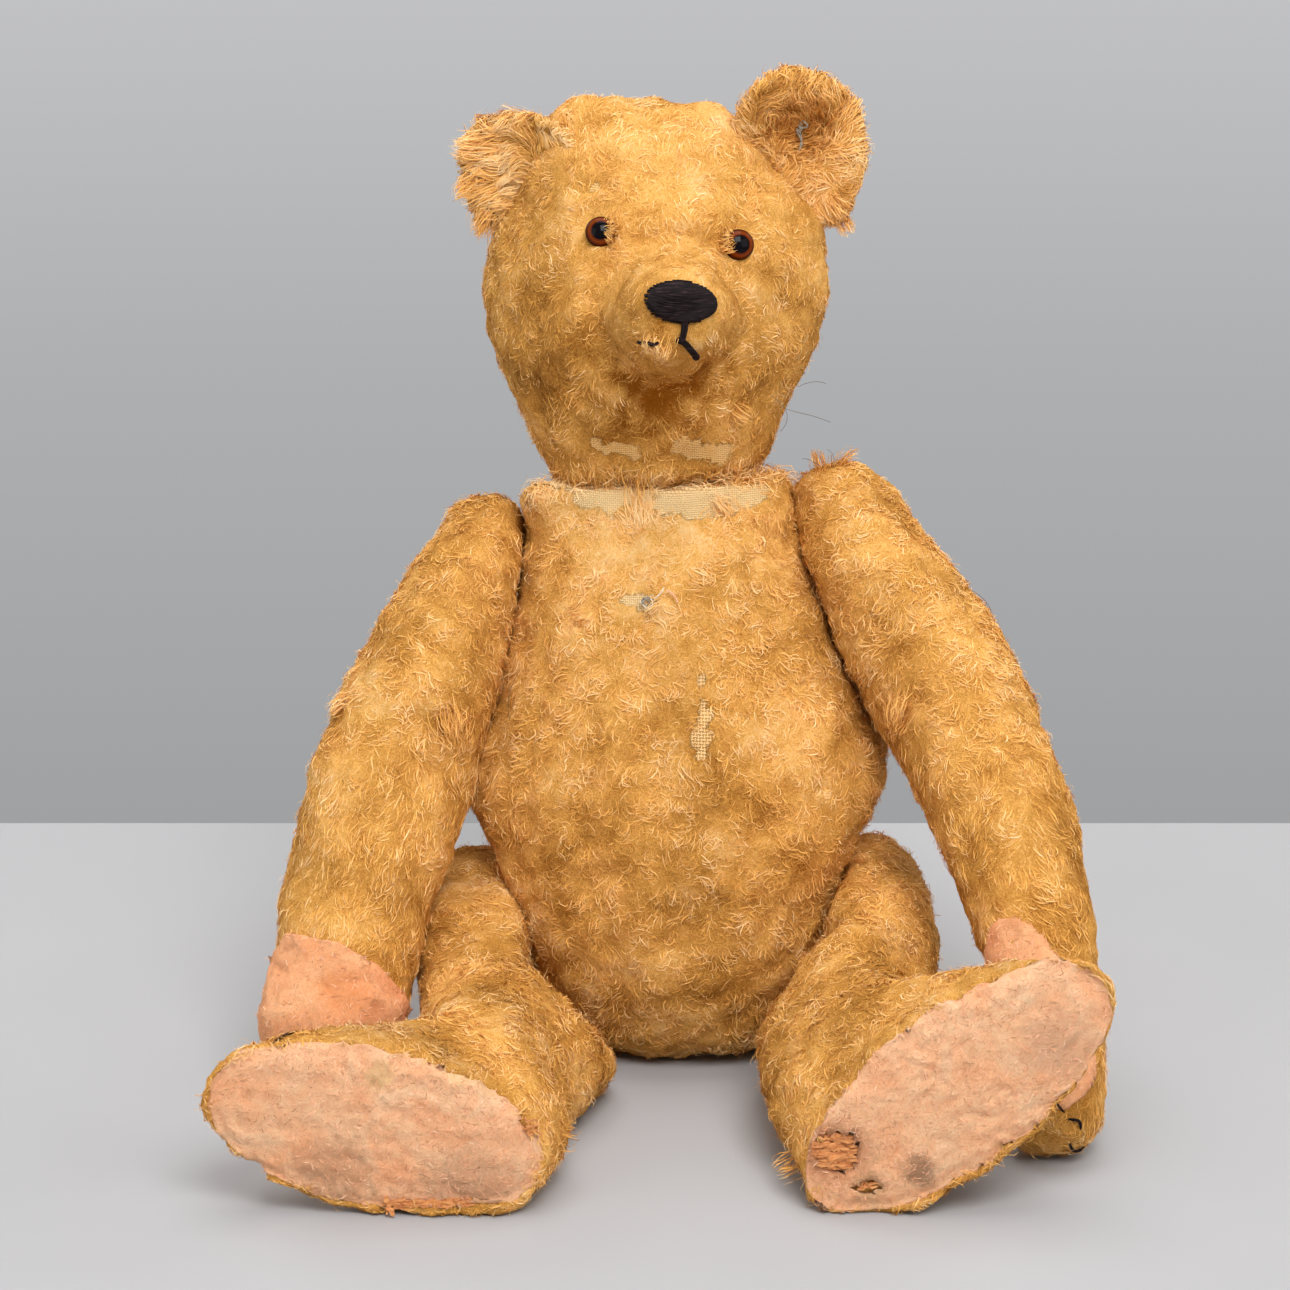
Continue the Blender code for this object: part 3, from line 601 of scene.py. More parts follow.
def applied(piece):
    """The piece with what its modifiers make kept as its mesh."""
    made = bpy.data.meshes.new_from_object(piece.evaluated_get(bpy.context.evaluated_depsgraph_get()))
    piece.modifiers.clear()
    piece.data = made
    made.name = piece.name
    return piece


def remeshed(shape, name, voxel):
    """A piece with an even mesh over a closed shape."""
    piece = linked_shape(name, shape)
    even = piece.modifiers.new("even cloth", "REMESH")
    even.mode = "VOXEL"
    even.voxel_size = voxel * MM
    return applied(piece)


def thickened(piece, thickness, offset=-1.0):
    """A sheet given its thickness, inward unless the offset says otherwise."""
    thick = piece.modifiers.new("thickness", "SOLIDIFY")
    thick.thickness = thickness * MM
    thick.offset = offset
    return applied(piece)


def move_points(shape, spots):
    """Puts a shape's points at places in mm."""
    for vert, spot in zip(shape.verts, spots):
        vert.co = Vector(spot) * MM


# The two steps of smoothing: one in, and one out that makes up for the shrinking.
SMOOTH_IN, SMOOTH_OUT = 0.5, -0.515


class Surface:
    """A piece's surface in mm, with quick answers about it."""

    def __init__(self, piece):
        self.piece = piece
        mesh = piece.data
        mesh.calc_loop_triangles()
        self.points = self.read(mesh.vertices, "co", 3) / MM
        self.corners = self.read(mesh.loop_triangles, "vertices", 3, np.int32)
        self.edges = self.read(mesh.edges, "vertices", 2, np.int32)
        self.refresh()

    @staticmethod
    def read(items, name, width, kind=np.float32):
        flat = np.empty(len(items) * width, kind)
        items.foreach_get(name, flat)
        return flat.reshape(-1, width).astype(float if kind is np.float32 else int)

    def refresh(self):
        """Normals and the search tree, after the points have moved."""
        a, b, c = (self.points[self.corners[:, k]] for k in range(3))
        self.flat = np.cross(b - a, c - a)
        self.normals = np.zeros_like(self.points)
        for k in range(3):
            np.add.at(self.normals, self.corners[:, k], self.flat)
        self.normals = unit(self.normals)
        self.tree = None

    def smooth(self, rounds):
        """Softens the surface without shrinking it."""
        first, second = self.edges[:, 0], self.edges[:, 1]
        count = np.bincount(self.edges.ravel(), minlength=len(self.points))[:, None]
        for step in range(2 * rounds):
            total = np.zeros_like(self.points)
            np.add.at(total, first, self.points[second])
            np.add.at(total, second, self.points[first])
            share = SMOOTH_IN if step % 2 == 0 else SMOOTH_OUT
            self.points += share * (total / np.maximum(count, 1) - self.points)
        self.refresh()

    def store(self):
        self.piece.data.vertices.foreach_set("co", (self.points * MM).astype(np.float32).ravel())
        self.piece.data.update()
        self.piece.data.shade_smooth()

    def nearest(self, places):
        """The nearest place on the surface to each given one, and its smooth normal."""
        if self.tree is None:
            self.tree = BVHTree.FromPolygons(self.points.tolist(), self.corners.tolist())
        find = self.tree.find_nearest
        found = [find(place) for place in places.tolist()]
        spots = np.array([hit[0] for hit in found])
        return spots, self.normal_at(spots, np.array([hit[2] for hit in found]))

    def normal_at(self, spots, faces):
        ids = self.corners[faces]
        a, b, c = (self.points[ids[:, k]] for k in range(3))
        area = (self.flat[faces] ** 2).sum(1)
        u = np.einsum("ij,ij->i", np.cross(c - b, spots - b), self.flat[faces]) / area
        v = np.einsum("ij,ij->i", np.cross(a - c, spots - c), self.flat[faces]) / area
        share = np.clip(np.stack([u, v, 1 - u - v], 1), 0, 1)
        return unit((self.normals[ids] * share[:, :, None]).sum(1))

    def scatter(self, count, weight, rng):
        """Places spread evenly over the surface, more where the weight is greater."""
        middles = self.points[self.corners].mean(1)
        share = np.linalg.norm(self.flat, axis=1) * weight(middles)
        edges = np.cumsum(share)
        draw = (np.arange(count) + rng.random(count)) / count * edges[-1]
        faces = np.minimum(np.searchsorted(edges, draw), len(edges) - 1)
        mix = rng.random((count, 2))
        over = mix.sum(1) > 1
        mix[over] = 1 - mix[over]
        ids = self.corners[faces]
        a, b, c = (self.points[ids[:, k]] for k in range(3))
        spots = a + (b - a) * mix[:, :1] + (c - a) * mix[:, 1:]
        return spots, self.normal_at(spots, faces)


# The gap kept between covers, and how deep a turning leg may press into the body.
COVERS_APART, PRESS_ALLOWED = 0.35, 0.6


def keep_clear(surface, others):
    """Presses a surface back where it would touch its neighbours or the floor."""
    for tree, low, high in others:
        near = ((surface.points > low - 3) & (surface.points < high + 3)).all(1)
        for k in np.where(near)[0]:
            spot, normal, _, far = tree.find_nearest(surface.points[k].tolist(), 4.0)
            if spot is None:
                continue
            offset = surface.points[k] - np.array(spot)
            gap = float(offset @ np.array(normal))
            if abs(gap) > 0.5 * far and gap < COVERS_APART:
                surface.points[k] += (COVERS_APART - gap) * np.array(normal)
    surface.points[:, 2] = np.maximum(surface.points[:, 2], FLOOR_ROOM)


def leave_turning_room(surface, part):
    """Presses a leg in where it would run into the body as it turns on its hinge."""
    hinge = next(joint for joint in frame["record"]["behaviour"]["joints"] if joint["child"] == part)
    tree, low, high = surface_tree(SURFACES["body"])
    pin = np.array(hinge["pos_m"]) / MM
    low_turn, high_turn = hinge["range_deg"]
    for degrees in (low_turn, high_turn / 3, high_turn * 2 / 3, high_turn):
        turn = np.array(Matrix.Rotation(math.radians(degrees), 3, Vector(hinge["axis"])))
        turned = (surface.points - pin) @ turn.T + pin
        for k in np.where(((turned > low) & (turned < high)).all(1))[0]:
            spot, normal, _, far = tree.find_nearest(turned[k].tolist(), 8.0)
            if spot is None:
                continue
            gap = float((turned[k] - np.array(spot)) @ np.array(normal))
            if gap < -PRESS_ALLOWED and abs(gap) > 0.5 * far:
                turned[k] -= (gap + PRESS_ALLOWED) * np.array(normal)
        surface.points = (turned - pin) @ turn + pin


def solid_tree(node):
    """A CAD node's outside, for keeping clear of it."""
    shape = merged_solid(node)
    points = np.array([vert.co for vert in shape.verts]) / MM
    faces = [[vert.index for vert in face.verts] for face in shape.faces]
    shape.free()
    return BVHTree.FromPolygons(points.tolist(), faces), points.min(0), points.max(0)


def surface_tree(surface):
    """A finished piece's outside, for keeping clear of it."""
    tree = BVHTree.FromPolygons(surface.points.tolist(), surface.corners.tolist())
    return tree, surface.points.min(0), surface.points.max(0)


def slot_of(part):
    """The slot of a part's cover and pile."""
    return "ear_mohair" if "ear" in part else "mohair"


def bind(piece, body, slot, *nodes):
    """Ties a piece to the body it rides on and hides the nodes it stands for; the slot is not used."""
    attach(piece, body)
    if nodes:
        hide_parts(*nodes)


def finish_piece(piece, finish, body, slot, *nodes):
    """Gives a piece its material, ties it to its body and hides its nodes."""
    piece.data.materials.clear()
    piece.data.materials.append(finish)
    bind(piece, body, slot, *nodes)


def keep_values(mesh, name, values):
    mesh.attributes.new(name, "FLOAT", "POINT").data.foreach_set("value", values.astype(np.float32))


# How lumpy a cover is, in broad lumps and in small ones. The limbs are as the last says.
LUMPS = {"body": (0.8, 0.5), "head": (0.55, 0.35), "ear_left": (0.3, 0.3), "ear_right": (0.3, 0.3)}
LIMB_LUMPS = (0.6, 0.4)
# Creases: a line across the cover, how deep and how wide they are.
CREASES = {
    "arm_left": [((-60, -16, 98), (-76, -20, 100), 2.4, 4)],
    "arm_right": [((48, -20, 101), (62, -23, 106), 2.2, 4)],
    "head": [((-30, 14, 187), (20, 16, 185), 1, 5)],
    "ear_right": [((22, 38, 262), (34, 38, 238), 2.2, 5)],
}
# Where stuffing pushes a cover out or leaves it slack: middle, radius, and how far it moves.
SHAPED = {
    "head": [
        ((-31, 40, 259), 15, (-3.2, 0, 4.4)), ((-9.8, -1, 186), 9, (0, 2.6, 0)),
        ((42, 42, 205), 18, (1.6, 0, 0)), ((-34, 42, 256), 12, (-2, 0, 3.2)), ((9, 40, 260), 12, (3, 0, 3.6)),
        ((-12, 30, 160), 30, (-2.6, 0, 0)), ((34, 40, 180), 24, (-4.2, 0, 0)),
        ((-51, 40, 180), 22, (2, 0, 0)), ((38, 40, 228), 14, (4, 0, 0)), ((-57, 43, 210), 20, (-1.8, 0, 0)),
    ],
    "ear_left": [
        ((-52, 46, 262), 16, (1.5, 0, -6.5)), ((-60, 46, 236), 12, (2, 0, 1)),
        ((-44, 34, 244), 14, (0, -5, 0)),
    ],
    "ear_right": [
        ((52, 46, 256), 14, (-2.2, 0, -1.2)), ((22, 46, 264), 14, (-3.4, 0, 3.4)),
        ((31, 44, 252), 9, (0, 4.5, 0)), ((50, 44, 244), 8, (0, -2.5, 0)), ((42, 44, 267), 8, (0, -2.5, 0)),
        ((20, 42, 262), 7, (0, -3, 0)), ((46, 44, 230), 9, (2, 0, -2)),
    ],
    "body": [
        ((-5, -30, 3), 22, (0, 1.5, 0.8)), ((-57, 3, 66), 13, (-2.5, 0, 0)),
        ((-40, 15, 158), 10, (-2.4, -1, 3.4)), ((24, 15, 159), 10, (2.4, -1, 3)),
        ((54, 5, 80), 20, (2.8, 0, 0)), ((-58, 5, 78), 16, (-4.6, 0, 0)), ((58, 2, 76), 13, (2, 0, 0)),
        ((46, -8, 44), 13, (-4, 1.5, 0)), ((-45, 22, 160), 11, (-4, 0, 4.5)),
    ],
    "arm_right": [
        ((68, 20, 152), 24, (-2.8, 0, -3.4)), ((84, 14, 128), 20, (-0.6, 0, -0.4)),
        ((66, -24, 84), 14, (2, 0, 0)), ((76, -36, 64), 15, (3, 0, 0)), ((108, -30, 72), 22, (2.4, 0, 0)),
        ((92, -90, 5), 10, (-3, 0, 0)), ((100, -90, 6), 12, (0, -2.5, 0)), ((104, -60, 62), 24, (1.6, 0, 0)),
    ],
    "arm_left": [
        ((-62, 20, 155), 12, (0, 0, -3.4)), ((-102, -10, 86), 18, (-2.4, 0, 0)),
        ((-112, -25, 54), 22, (-3.8, 0, 0)), ((-86, 8, 122), 12, (1.4, 0, 0)),
        ((-66, -14, 107), 10, (0, -2.5, 0)), ((-68, -24, 88), 11, (-1, 2.5, 0)),
        ((-118, -55, 22), 18, (-3.8, 0, 0)),
    ],
    "leg_right": [
        ((47, -16, 46), 15, (-6, -4, 2)), ((68, 0, 48), 24, (-4, 0, 0)), ((24, -100, 8), 14, (-3.4, 0, 0)),
        ((100, -118, 60), 18, (0.5, 0, 2.5)), ((70, -112, 66), 18, (0, 0, 2.5)),
        ((22, -90, 30), 14, (-2, 0, 0)), ((60, -126, 4), 24, (0, -2, 0)),
    ],
    "leg_left": [
        ((-64, 0, 58), 14, (2, 0, -6)), ((-26, -96, 30), 15, (-4.5, 0, 0)),
        ((-27, -88, 18), 18, (-5.5, 0, 0)), ((-27, -66, 38), 17, (-7.5, 0, 0)),
        ((-62, -126, 4), 24, (0, -3, 0)), ((-100, -120, 4), 18, (0, 0, 3.5)),
        ((-50, -16, 46), 14, (3, -3, 1)), ((-118, -118, 14), 18, (-2, 0, 2.5)),
        ((-114, -116, 44), 15, (-3, 0, 2.5)),
    ],
}


def nudged(part, points):
    """Points of a cover, moved where its stuffing is fuller or slacker."""
    moved = points.copy()
    for middle, radius, move in SHAPED.get(part, []):
        far = np.linalg.norm(points - np.array(middle, float), axis=1) / radius
        moved += np.exp(-(far**2))[:, None] * np.array(move, float)
    return moved


def reshape(part, surface):
    """Gives a cover the shape of its stuffing, and the neck and muzzle their own."""
    start = surface.points.copy()
    surface.points = nudged(part, start)
    height, out = round_neck(surface.points)
    if part == "head":
        surface.points += out * (2.4 * np.exp(-((height / 4.5) ** 2)))[:, None]
        shape_muzzle(surface, start)
    if part == "body":
        surface.points += out * (2.2 * np.exp(-(((height + 2) / 4.0) ** 2)))[:, None]
    surface.refresh()


# How far the muzzle comes out past its solid, and the nose with it.
MUZZLE_OUT = 5.6


def shape_muzzle(surface, start):
    """Pushes the muzzle out, pulls the face in round it, and sinks the eyes' sockets."""
    front = smoothstep((start - HEAD_MIDDLE) @ FORWARD, 14, 26)
    middle, _ = cast_on(surface, on_head(0.2, -6.5, BEFORE_FACE), -FORWARD)
    across = (start - middle) - ((start - middle) @ FORWARD)[:, None] * FORWARD
    far = np.linalg.norm(across, axis=1)
    out = MUZZLE_OUT * np.exp(-((far / 12.5) ** 6)) * front
    back = 5.0 * np.exp(-(((far - 18.5) / 4.6) ** 2)) * front
    surface.points += FORWARD * (out - back)[:, None]
    for side in ("left", "right"):
        low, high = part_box("eye_" + side)
        away = np.linalg.norm(start - np.array((low + high) / 2) / MM, axis=1)
        surface.points -= FORWARD * (1.3 * np.exp(-((away / 7.0) ** 2)))[:, None]


# How high the matted tufts stand over the hollows between them.
TUFT_RISE = 0.9
# The size of the even meshes, in an ear, another cover and the stuffing, and how far the
# stuffing stays behind the cloth.
EAR_MESH, COVER_MESH, STUFFING_MESH = 1.5, 2.1, 6.0
STUFFING_BEHIND = 1.6


def mound_at(part, places):
    """1 at the top of a tuft of matted pile and 0 in the hollows between tufts."""
    of, away = nearest_of(places, BUNCHES[part][0])
    return np.exp(-((away / BUNCHES[part][5][of]) ** 2))


def make_cover(part):
    """One soft cover: its outer surface, smoothed, lumpy, creased, clear of the others."""
    node = COVER_OF[part]
    name = part + ("_mohair" if "ear" in part else "_cover_mohair")
    closing = ["sole_pad_" + part[4:]] if part.startswith("leg") else []
    piece = remeshed(outer_shape(node, *closing), name, EAR_MESH if "ear" in part else COVER_MESH)
    surface = Surface(piece)
    surface.smooth(14 if "ear" in part else 40)
    reshape(part, surface)
    gather(part, surface)
    mound = mound_at(part, surface.points)
    broad, fine = LUMPS.get(part, LIMB_LUMPS)
    lump = broad * mottle(surface.points, part + "lump", 26) + fine * mottle(surface.points, part + "tuft", 8)
    depth = np.zeros(len(surface.points))
    for start, end, deep, wide in CREASES.get(part, []):
        depth += deep * np.exp(-((near_line(surface.points, start, end) / wide) ** 2))
    rise = 0.25 + 0.5 * lump + TUFT_RISE * (mound - 0.45) - depth
    surface.points += surface.normals * rise[:, None]
    if part.startswith("leg"):
        sink_sole(surface, part[4:])
    keep_clear(surface, [tree for body, tree in NEIGHBOURS.items() if BODY_OF[body] != BODY_OF[part]])
    if part.startswith("leg"):
        leave_turning_room(surface, part)
    surface.refresh()
    surface.store()
    shade, warmth = marks_at(part, surface.points)
    keep_values(piece.data, "bare", bare_share(part, surface.points))
    # Painted shade in the hollows between the tufts and painted light on their tops, with a broad random tone.
    shade += 0.12 * (mound - 0.5) + 0.05 * mottle(surface.points, part + "tone", 24)
    keep_values(piece.data, "shade", 0.40 + shade)
    warmth = 0.36 + warmth + 0.08 * mottle(surface.points, part + "hue", 30)
    keep_values(piece.data, "warmth", np.clip(warmth, 0, 1))
    finish_piece(piece, BACKING, BODY_OF[part], slot_of(part), node)
    return surface


def make_stuffing(part):
    """The wood wool packed in a cover, pressed in to stay behind the cloth everywhere."""
    node = part + "_stuffing"
    piece = remeshed(merged_solid(node), part + "_wood_wool", STUFFING_MESH)
    surface = Surface(piece)
    surface.smooth(3)
    spots, normals = SURFACES[part].nearest(surface.points)
    behind = np.einsum("ij,ij->i", spots - surface.points, normals)
    surface.points -= normals * np.clip(STUFFING_BEHIND - behind, 0, None)[:, None]
    surface.refresh()
    surface.store()
    finish_piece(piece, WOOD_WOOL, BODY_OF[part], "wood_wool", node)


# ------------------------------------------------------------------ soles and pads


# How far the felt reaches over the rim of the foot, across and up, as a share of the sole.
SOLE_GROWN = {"left": (1.08, 1.08), "right": (1.20, 1.15)}
# How far its middle is moved, across and up, in mm.
SOLE_MOVED = {"left": (-0.6, 1.9), "right": (0.4, 2.9)}
# How much wider than the felt the foot's mouth is, how high the felt is domed, and into how
# many spokes the mouth is divided to measure it.
RIM_WIDE, SOLE_DOME, SPOKES = 2.8, 2.2, 40
# Thicknesses of the felt and of a shaving, and how far out the felt is cut from an arm.
FELT_THICK, SHAVING_THICK, PAW_REACH = 1.2, 0.25, 45


def sole_outline(side):
    """The felt's outline round its middle: the middle, and a distance for each angle."""
    shape = merged_solid("sole_pad_" + side)
    points = np.array([vert.co for vert in shape.verts]) / MM
    shape.free()
    plane = points[:, 1].min()
    ring = points[points[:, 1] < plane + 0.1][:, [0, 2]]
    middle = (ring.max(0) + ring.min(0)) / 2
    away = (ring - middle) * SOLE_GROWN[side]
    angle = np.arctan2(away[:, 1], away[:, 0])
    order = np.argsort(angle)
    far = np.linalg.norm(away, axis=1)[order]
    return middle + np.array(SOLE_MOVED[side]), plane, angle[order], far


def reach_at(away, angle, far):
    """How far the felt's outline is from its middle in each direction."""
    return np.interp(np.arctan2(away[:, 1], away[:, 0]), angle, far, period=math.tau)


def sole_share(side, points):
    """0 at the sole's middle and 1 at its edge, for points on or near its plane."""
    middle, plane, angle, far = sole_outline(side)
    away = points[:, [0, 2]] - middle
    return np.linalg.norm(away, axis=1) / reach_at(away, angle, far), plane


def sink_sole(surface, side):
    """Widens the mouth of the foot to hold the felt, and lowers it inside its rim."""
    middle, plane, angle, far = sole_outline(side)
    away = surface.points[:, [0, 2]] - middle
    turn, long = np.arctan2(away[:, 1], away[:, 0]), np.linalg.norm(away, axis=1)
    mouth = surface.points[:, 1] < plane + 5
    wanted = reach_at(away, angle, far) + RIM_WIDE
    spoke = np.round((turn + math.pi) / math.tau * SPOKES).astype(int) % SPOKES
    reach = np.array([long[mouth & (spoke == k)].max() for k in range(SPOKES)])
    reach = np.interp(turn, (np.arange(SPOKES) / SPOKES - 0.5) * math.tau, reach, period=math.tau)
    grow = np.clip(wanted / reach, 1.0, 1.35) - 1
    grow = grow * (1 - smoothstep(surface.points[:, 1], plane + 3, plane + 18))
    surface.points[:, [0, 2]] += away * grow[:, None]
    share, plane = sole_share(side, surface.points)
    near = surface.points[:, 1] < plane + 4
    sunk = near * (1 - smoothstep(share, 0.84, 0.99)) * 2.6
    surface.points[:, 1] += sunk
    behind = plane + 2.0 - SOLE_DOME * (1 - np.clip(share, 0, 1) ** 4) - surface.points[:, 1]
    surface.points[:, 1] += np.clip(behind, 0, 4) * near * (1 - smoothstep(share, 0.99, 1.06))
    surface.refresh()


# Worn and dirty places on the felt: middle, radius, colour, and how strong it is.
SOLE_WEAR = {
    "left": [
        ((-80.2, -130, 38.2), 6, (0.8, 0.5, 0.22), 0.7), ((-59.7, -130, 40), 7, (0.82, 0.55, 0.26), 0.7),
        ((-52.1, -130, 35.5), 5, (0.74, 0.42, 0.18), 0.6), ((-92, -130, 12), 16, (0.52, 0.27, 0.15), 0.5),
        ((-58, -130, 6), 18, (0.5, 0.26, 0.15), 0.5),
    ],
    "right": [
        ((36.4, -131, 17.5), 13, (0.5, 0.19, 0.08), 0.8), ((45, -131, 7.6), 7, (0.6, 0.34, 0.16), 0.6),
        ((58.1, -130, 12.3), 7, (0.3, 0.16, 0.09), 0.8), ((92, -130, 47), 14, (0.66, 0.34, 0.2), 0.5),
    ],
}
# Holes worn through the felt: middle and half sizes, on the sole's plane.
SOLE_HOLES = {
    "left": [((-41.5, 25), (1.6, 2.6))],
    "right": [((36.4, 17.6), (5.4, 4.2)), ((45, 7.6), (2.2, 1.4))],
}


def felt_sole(side):
    """The felt sole: domed, wrinkled, its edge laid over the rim of the foot, worn through."""
    middle, plane, angle, far = sole_outline(side)
    shape = bmesh.new()
    bmesh.ops.create_grid(shape, x_segments=68, y_segments=46, size=1.0)
    flat = np.array([vert.co for vert in shape.verts])
    x, y = flat[:, 0], flat[:, 1]
    disc = np.stack([x * np.sqrt(1 - y * y / 2), y * np.sqrt(1 - x * x / 2)], 1)
    share = np.linalg.norm(disc, axis=1)
    across, up = (middle + disc * (reach_at(disc, angle, far) + 0.9)[:, None]).T
    spots = np.stack([across, np.full(len(disc), plane), up], 1)
    name = "sole" + side
    wrinkle = mottle(spots * (0.6, 1, 1), name + "wrinkle", 8.0)
    lift = SOLE_DOME * (1 - share**4) + 0.12 * wrinkle + 0.2 * mottle(spots, name + "dent", 5.0)
    lift += 0.14 * mottle(spots, name + "pill", 2.4)
    worn = []
    for (hole_x, hole_z), (wide, high) in SOLE_HOLES[side]:
        ragged = 0.22 * mottle(spots, name + "hole", 2.4)
        out = np.hypot((spots[:, 0] - hole_x) / wide, (spots[:, 2] - hole_z) / high) + ragged
        lift -= 0.7 * np.exp(-((out - 0.9) ** 2) / 0.12)
        worn += np.where(out < 0.92)[0].tolist()
    spots[:, 1] -= lift - 0.5
    rim = np.where(share > 0.8)[0]
    on_rim, out = SURFACES["leg_" + side].nearest(spots[rim])
    hold = smoothstep(share[rim], 0.90, 1.0)[:, None]
    spots[rim] = spots[rim] * (1 - hold) + (on_rim + out * 0.5) * hold
    spots[:, 2] = np.maximum(spots[:, 2], FLOOR_ROOM)
    move_points(shape, spots)
    shape.verts.ensure_lookup_table()
    bmesh.ops.delete(shape, geom=[shape.verts[k] for k in sorted(set(worn))], context="VERTS")
    bmesh.ops.recalc_face_normals(shape, faces=shape.faces)
    if sum(face.normal.y for face in shape.faces) > 0:
        bmesh.ops.reverse_faces(shape, faces=shape.faces)
    piece = thickened(linked_shape("felt_sole_" + side, shape), FELT_THICK)
    piece.data.shade_smooth()
    finish = felt_material("peach_felt_sole_" + side, SOLE_WEAR[side])
    finish_piece(piece, finish, "leg_" + side, "felt", "sole_pad_" + side)
    return Surface(piece)


PAW_TINT = (0.96, 0.80, 0.68)
PAW_WEAR = [
    ((-94, -56, 34), 13, (0.8, 0.3, 0.1), 0.6), ((-84, -62, 30), 7, (0.62, 0.26, 0.12), 0.5),
    ((88, -74, 66), 10, (0.8, 0.36, 0.14), 0.6),
]


# The corners of a paw's felt, in order round it, and the way it faces.
PAW_CORNERS = {
    "left": [
        (-110, -39, 45.5), (-95, -53.4, 47.8), (-85, -54.2, 41.5), (-79, -49.3, 32.4), (-74, -48, 20),
        (-74, -44, 3), (-128, -40, 3), (-119, -38, 30),
    ],
}
PAW_FACING = unit(np.array([0.06, -0.94, 0.33]))


def cut_off(shape, point, way):
    """Cuts away the part of a shape that lies beyond a point, which is in metres."""
    everything = shape.verts[:] + shape.edges[:] + shape.faces[:]
    bmesh.ops.bisect_plane(shape, geom=everything, dist=0.01 * MM, plane_co=point,
                           plane_no=Vector(way), clear_outer=True)


def cut_from_arm(side):
    """Felt cut to straight edges from the arm's own surface, and laid over it."""
    corners = np.array(PAW_CORNERS[side])
    middle = corners.mean(0)
    surface = SURFACES["arm_" + side]
    shape = bmesh.new()
    shape.from_mesh(surface.piece.data)
    bmesh.ops.triangulate(shape, faces=shape.faces)
    away = [face for face in shape.faces if (face.calc_center_median() / MM - Vector(middle)).length > PAW_REACH]
    bmesh.ops.delete(shape, geom=away, context="FACES")
    heart = sum((vert.co for vert in shape.verts), Vector()) / len(shape.verts)
    cut_off(shape, heart + Vector(PAW_FACING) * 2 * MM, -PAW_FACING)
    for start, end in zip(corners, np.roll(corners, -1, 0)):
        edge = unit(np.cross(end - start, PAW_FACING))
        edge = edge if edge @ (start - middle) > 0 else -edge
        cut_off(shape, Vector(start) * MM, edge)
    bmesh.ops.subdivide_edges(shape, edges=shape.edges, cuts=1, use_grid_fill=True)
    bmesh.ops.triangulate(shape, faces=shape.faces)
    for _ in range(3):
        bmesh.ops.smooth_vert(shape, verts=[vert for vert in shape.verts if not vert.is_boundary], factor=0.5)
    shape.normal_update()
    points = np.array([vert.co for vert in shape.verts]) / MM
    up = np.array([vert.normal for vert in shape.verts])
    rise = 1.0 + 0.12 * mottle(points, "pad" + side, 4) + 0.15 * mottle(points, "pad" + side, 12)
    points += up * rise[:, None]
    move_points(shape, points)
    piece = thickened(linked_shape("felt_paw_" + side, shape), FELT_THICK)
    piece.data.shade_smooth()
    return piece, Surface(piece)


def paw_felt(side):
    """The felt pad sewn over the inside of a paw."""
    name = "felt_paw_" + side
    if side in PAW_CORNERS:
        piece, surface = cut_from_arm(side)
    else:
        piece = remeshed(merged_solid("paw_pad_" + side), name, 0.9)
        surface = Surface(piece)
        surface.smooth(6)
        rise = 0.3 + 0.16 * mottle(surface.points, name, 5) + 0.2 * mottle(surface.points, name + "b", 14)
        surface.points = nudged("arm_" + side, surface.points) + surface.normals * rise[:, None]
        surface.points[:, 2] = np.maximum(surface.points[:, 2], FLOOR_ROOM)
        surface.refresh()
        surface.store()
    finish = felt_material("peach_felt_paw_" + side, PAW_WEAR, PAW_TINT)
    finish_piece(piece, finish, "arm_" + side, "felt", "paw_pad_" + side)
    return surface


# ------------------------------------------------------------------ pile


def style(**changes):
    """How a pile grows: lengths and sizes in mm."""
    base = dict(
        locks=9000, under=22000, fuzz=4000, fringe=0, lay=(0, 0, -1), swirl=1.5, size=10.0, curl=115,
        length=(3.0, 5.8), lift=1.05, wide=0.125, clump=0.45, per_clump=13, shade=0.50, warmth=0.48,
        away=None, stray=1.0,
    )
    base.update(changes)
    return base


STYLES = {
    "body": style(locks=11000, under=33000, fuzz=4400, fringe=1300),
    "head": style(locks=8000, under=28500, fuzz=4000, fringe=1300, length=(2.4, 4.6), lift=0.8,
                  size=13.0, swirl=0.9, curl=80),
    "ear_left": style(locks=3800, under=2400, fuzz=600, length=(6.5, 11.0), lift=1.9, swirl=0.2,
                      curl=12, stray=0.45, warmth=0.54, away=(-20, 54, 246), size=18, shade=0.54,
                      clump=0.75),
    "ear_right": style(locks=3600, under=2800, fuzz=700, length=(3.8, 7.0), lift=1.6, swirl=0.6,
                       curl=45, warmth=0.50, away=(20, 46, 234), size=14, shade=0.44, stray=0.8),
    "arm_left": style(locks=5400, under=16500, fuzz=2200),
    "arm_right": style(locks=6300, under=19500, fuzz=2500),
    "leg_left": style(locks=5600, under=19500, fuzz=2300, curl=90, lay=(0, -1, 0), warmth=0.44),
    "leg_right": style(locks=5600, under=19000, fuzz=2300, curl=90, lay=(0, -1, 0), warmth=0.44),
}

# No pile grows inside these balls, which are put round the eyes and along the nose.
CLEARINGS = {"head": []}
# The way the pile lies on an arm.
ARM_DOWN = {"left": np.array([-0.62, -0.78, -1.1]), "right": np.array([0.55, -0.85, -1.1])}


def neck_share(part, places):
    """1 at the frayed edges of the neck, and the way out from the neck's middle there."""
    height, out = round_neck(places)
    if part == "head":
        return 1 - smoothstep(height, 2.0, 9.0), unit(0.45 * out - NECK_UP)
    if part == "body":
        return smoothstep(height, -5.0, -1.0), unit(0.6 * out + 0.8 * NECK_UP)
    return np.zeros(len(places)), out


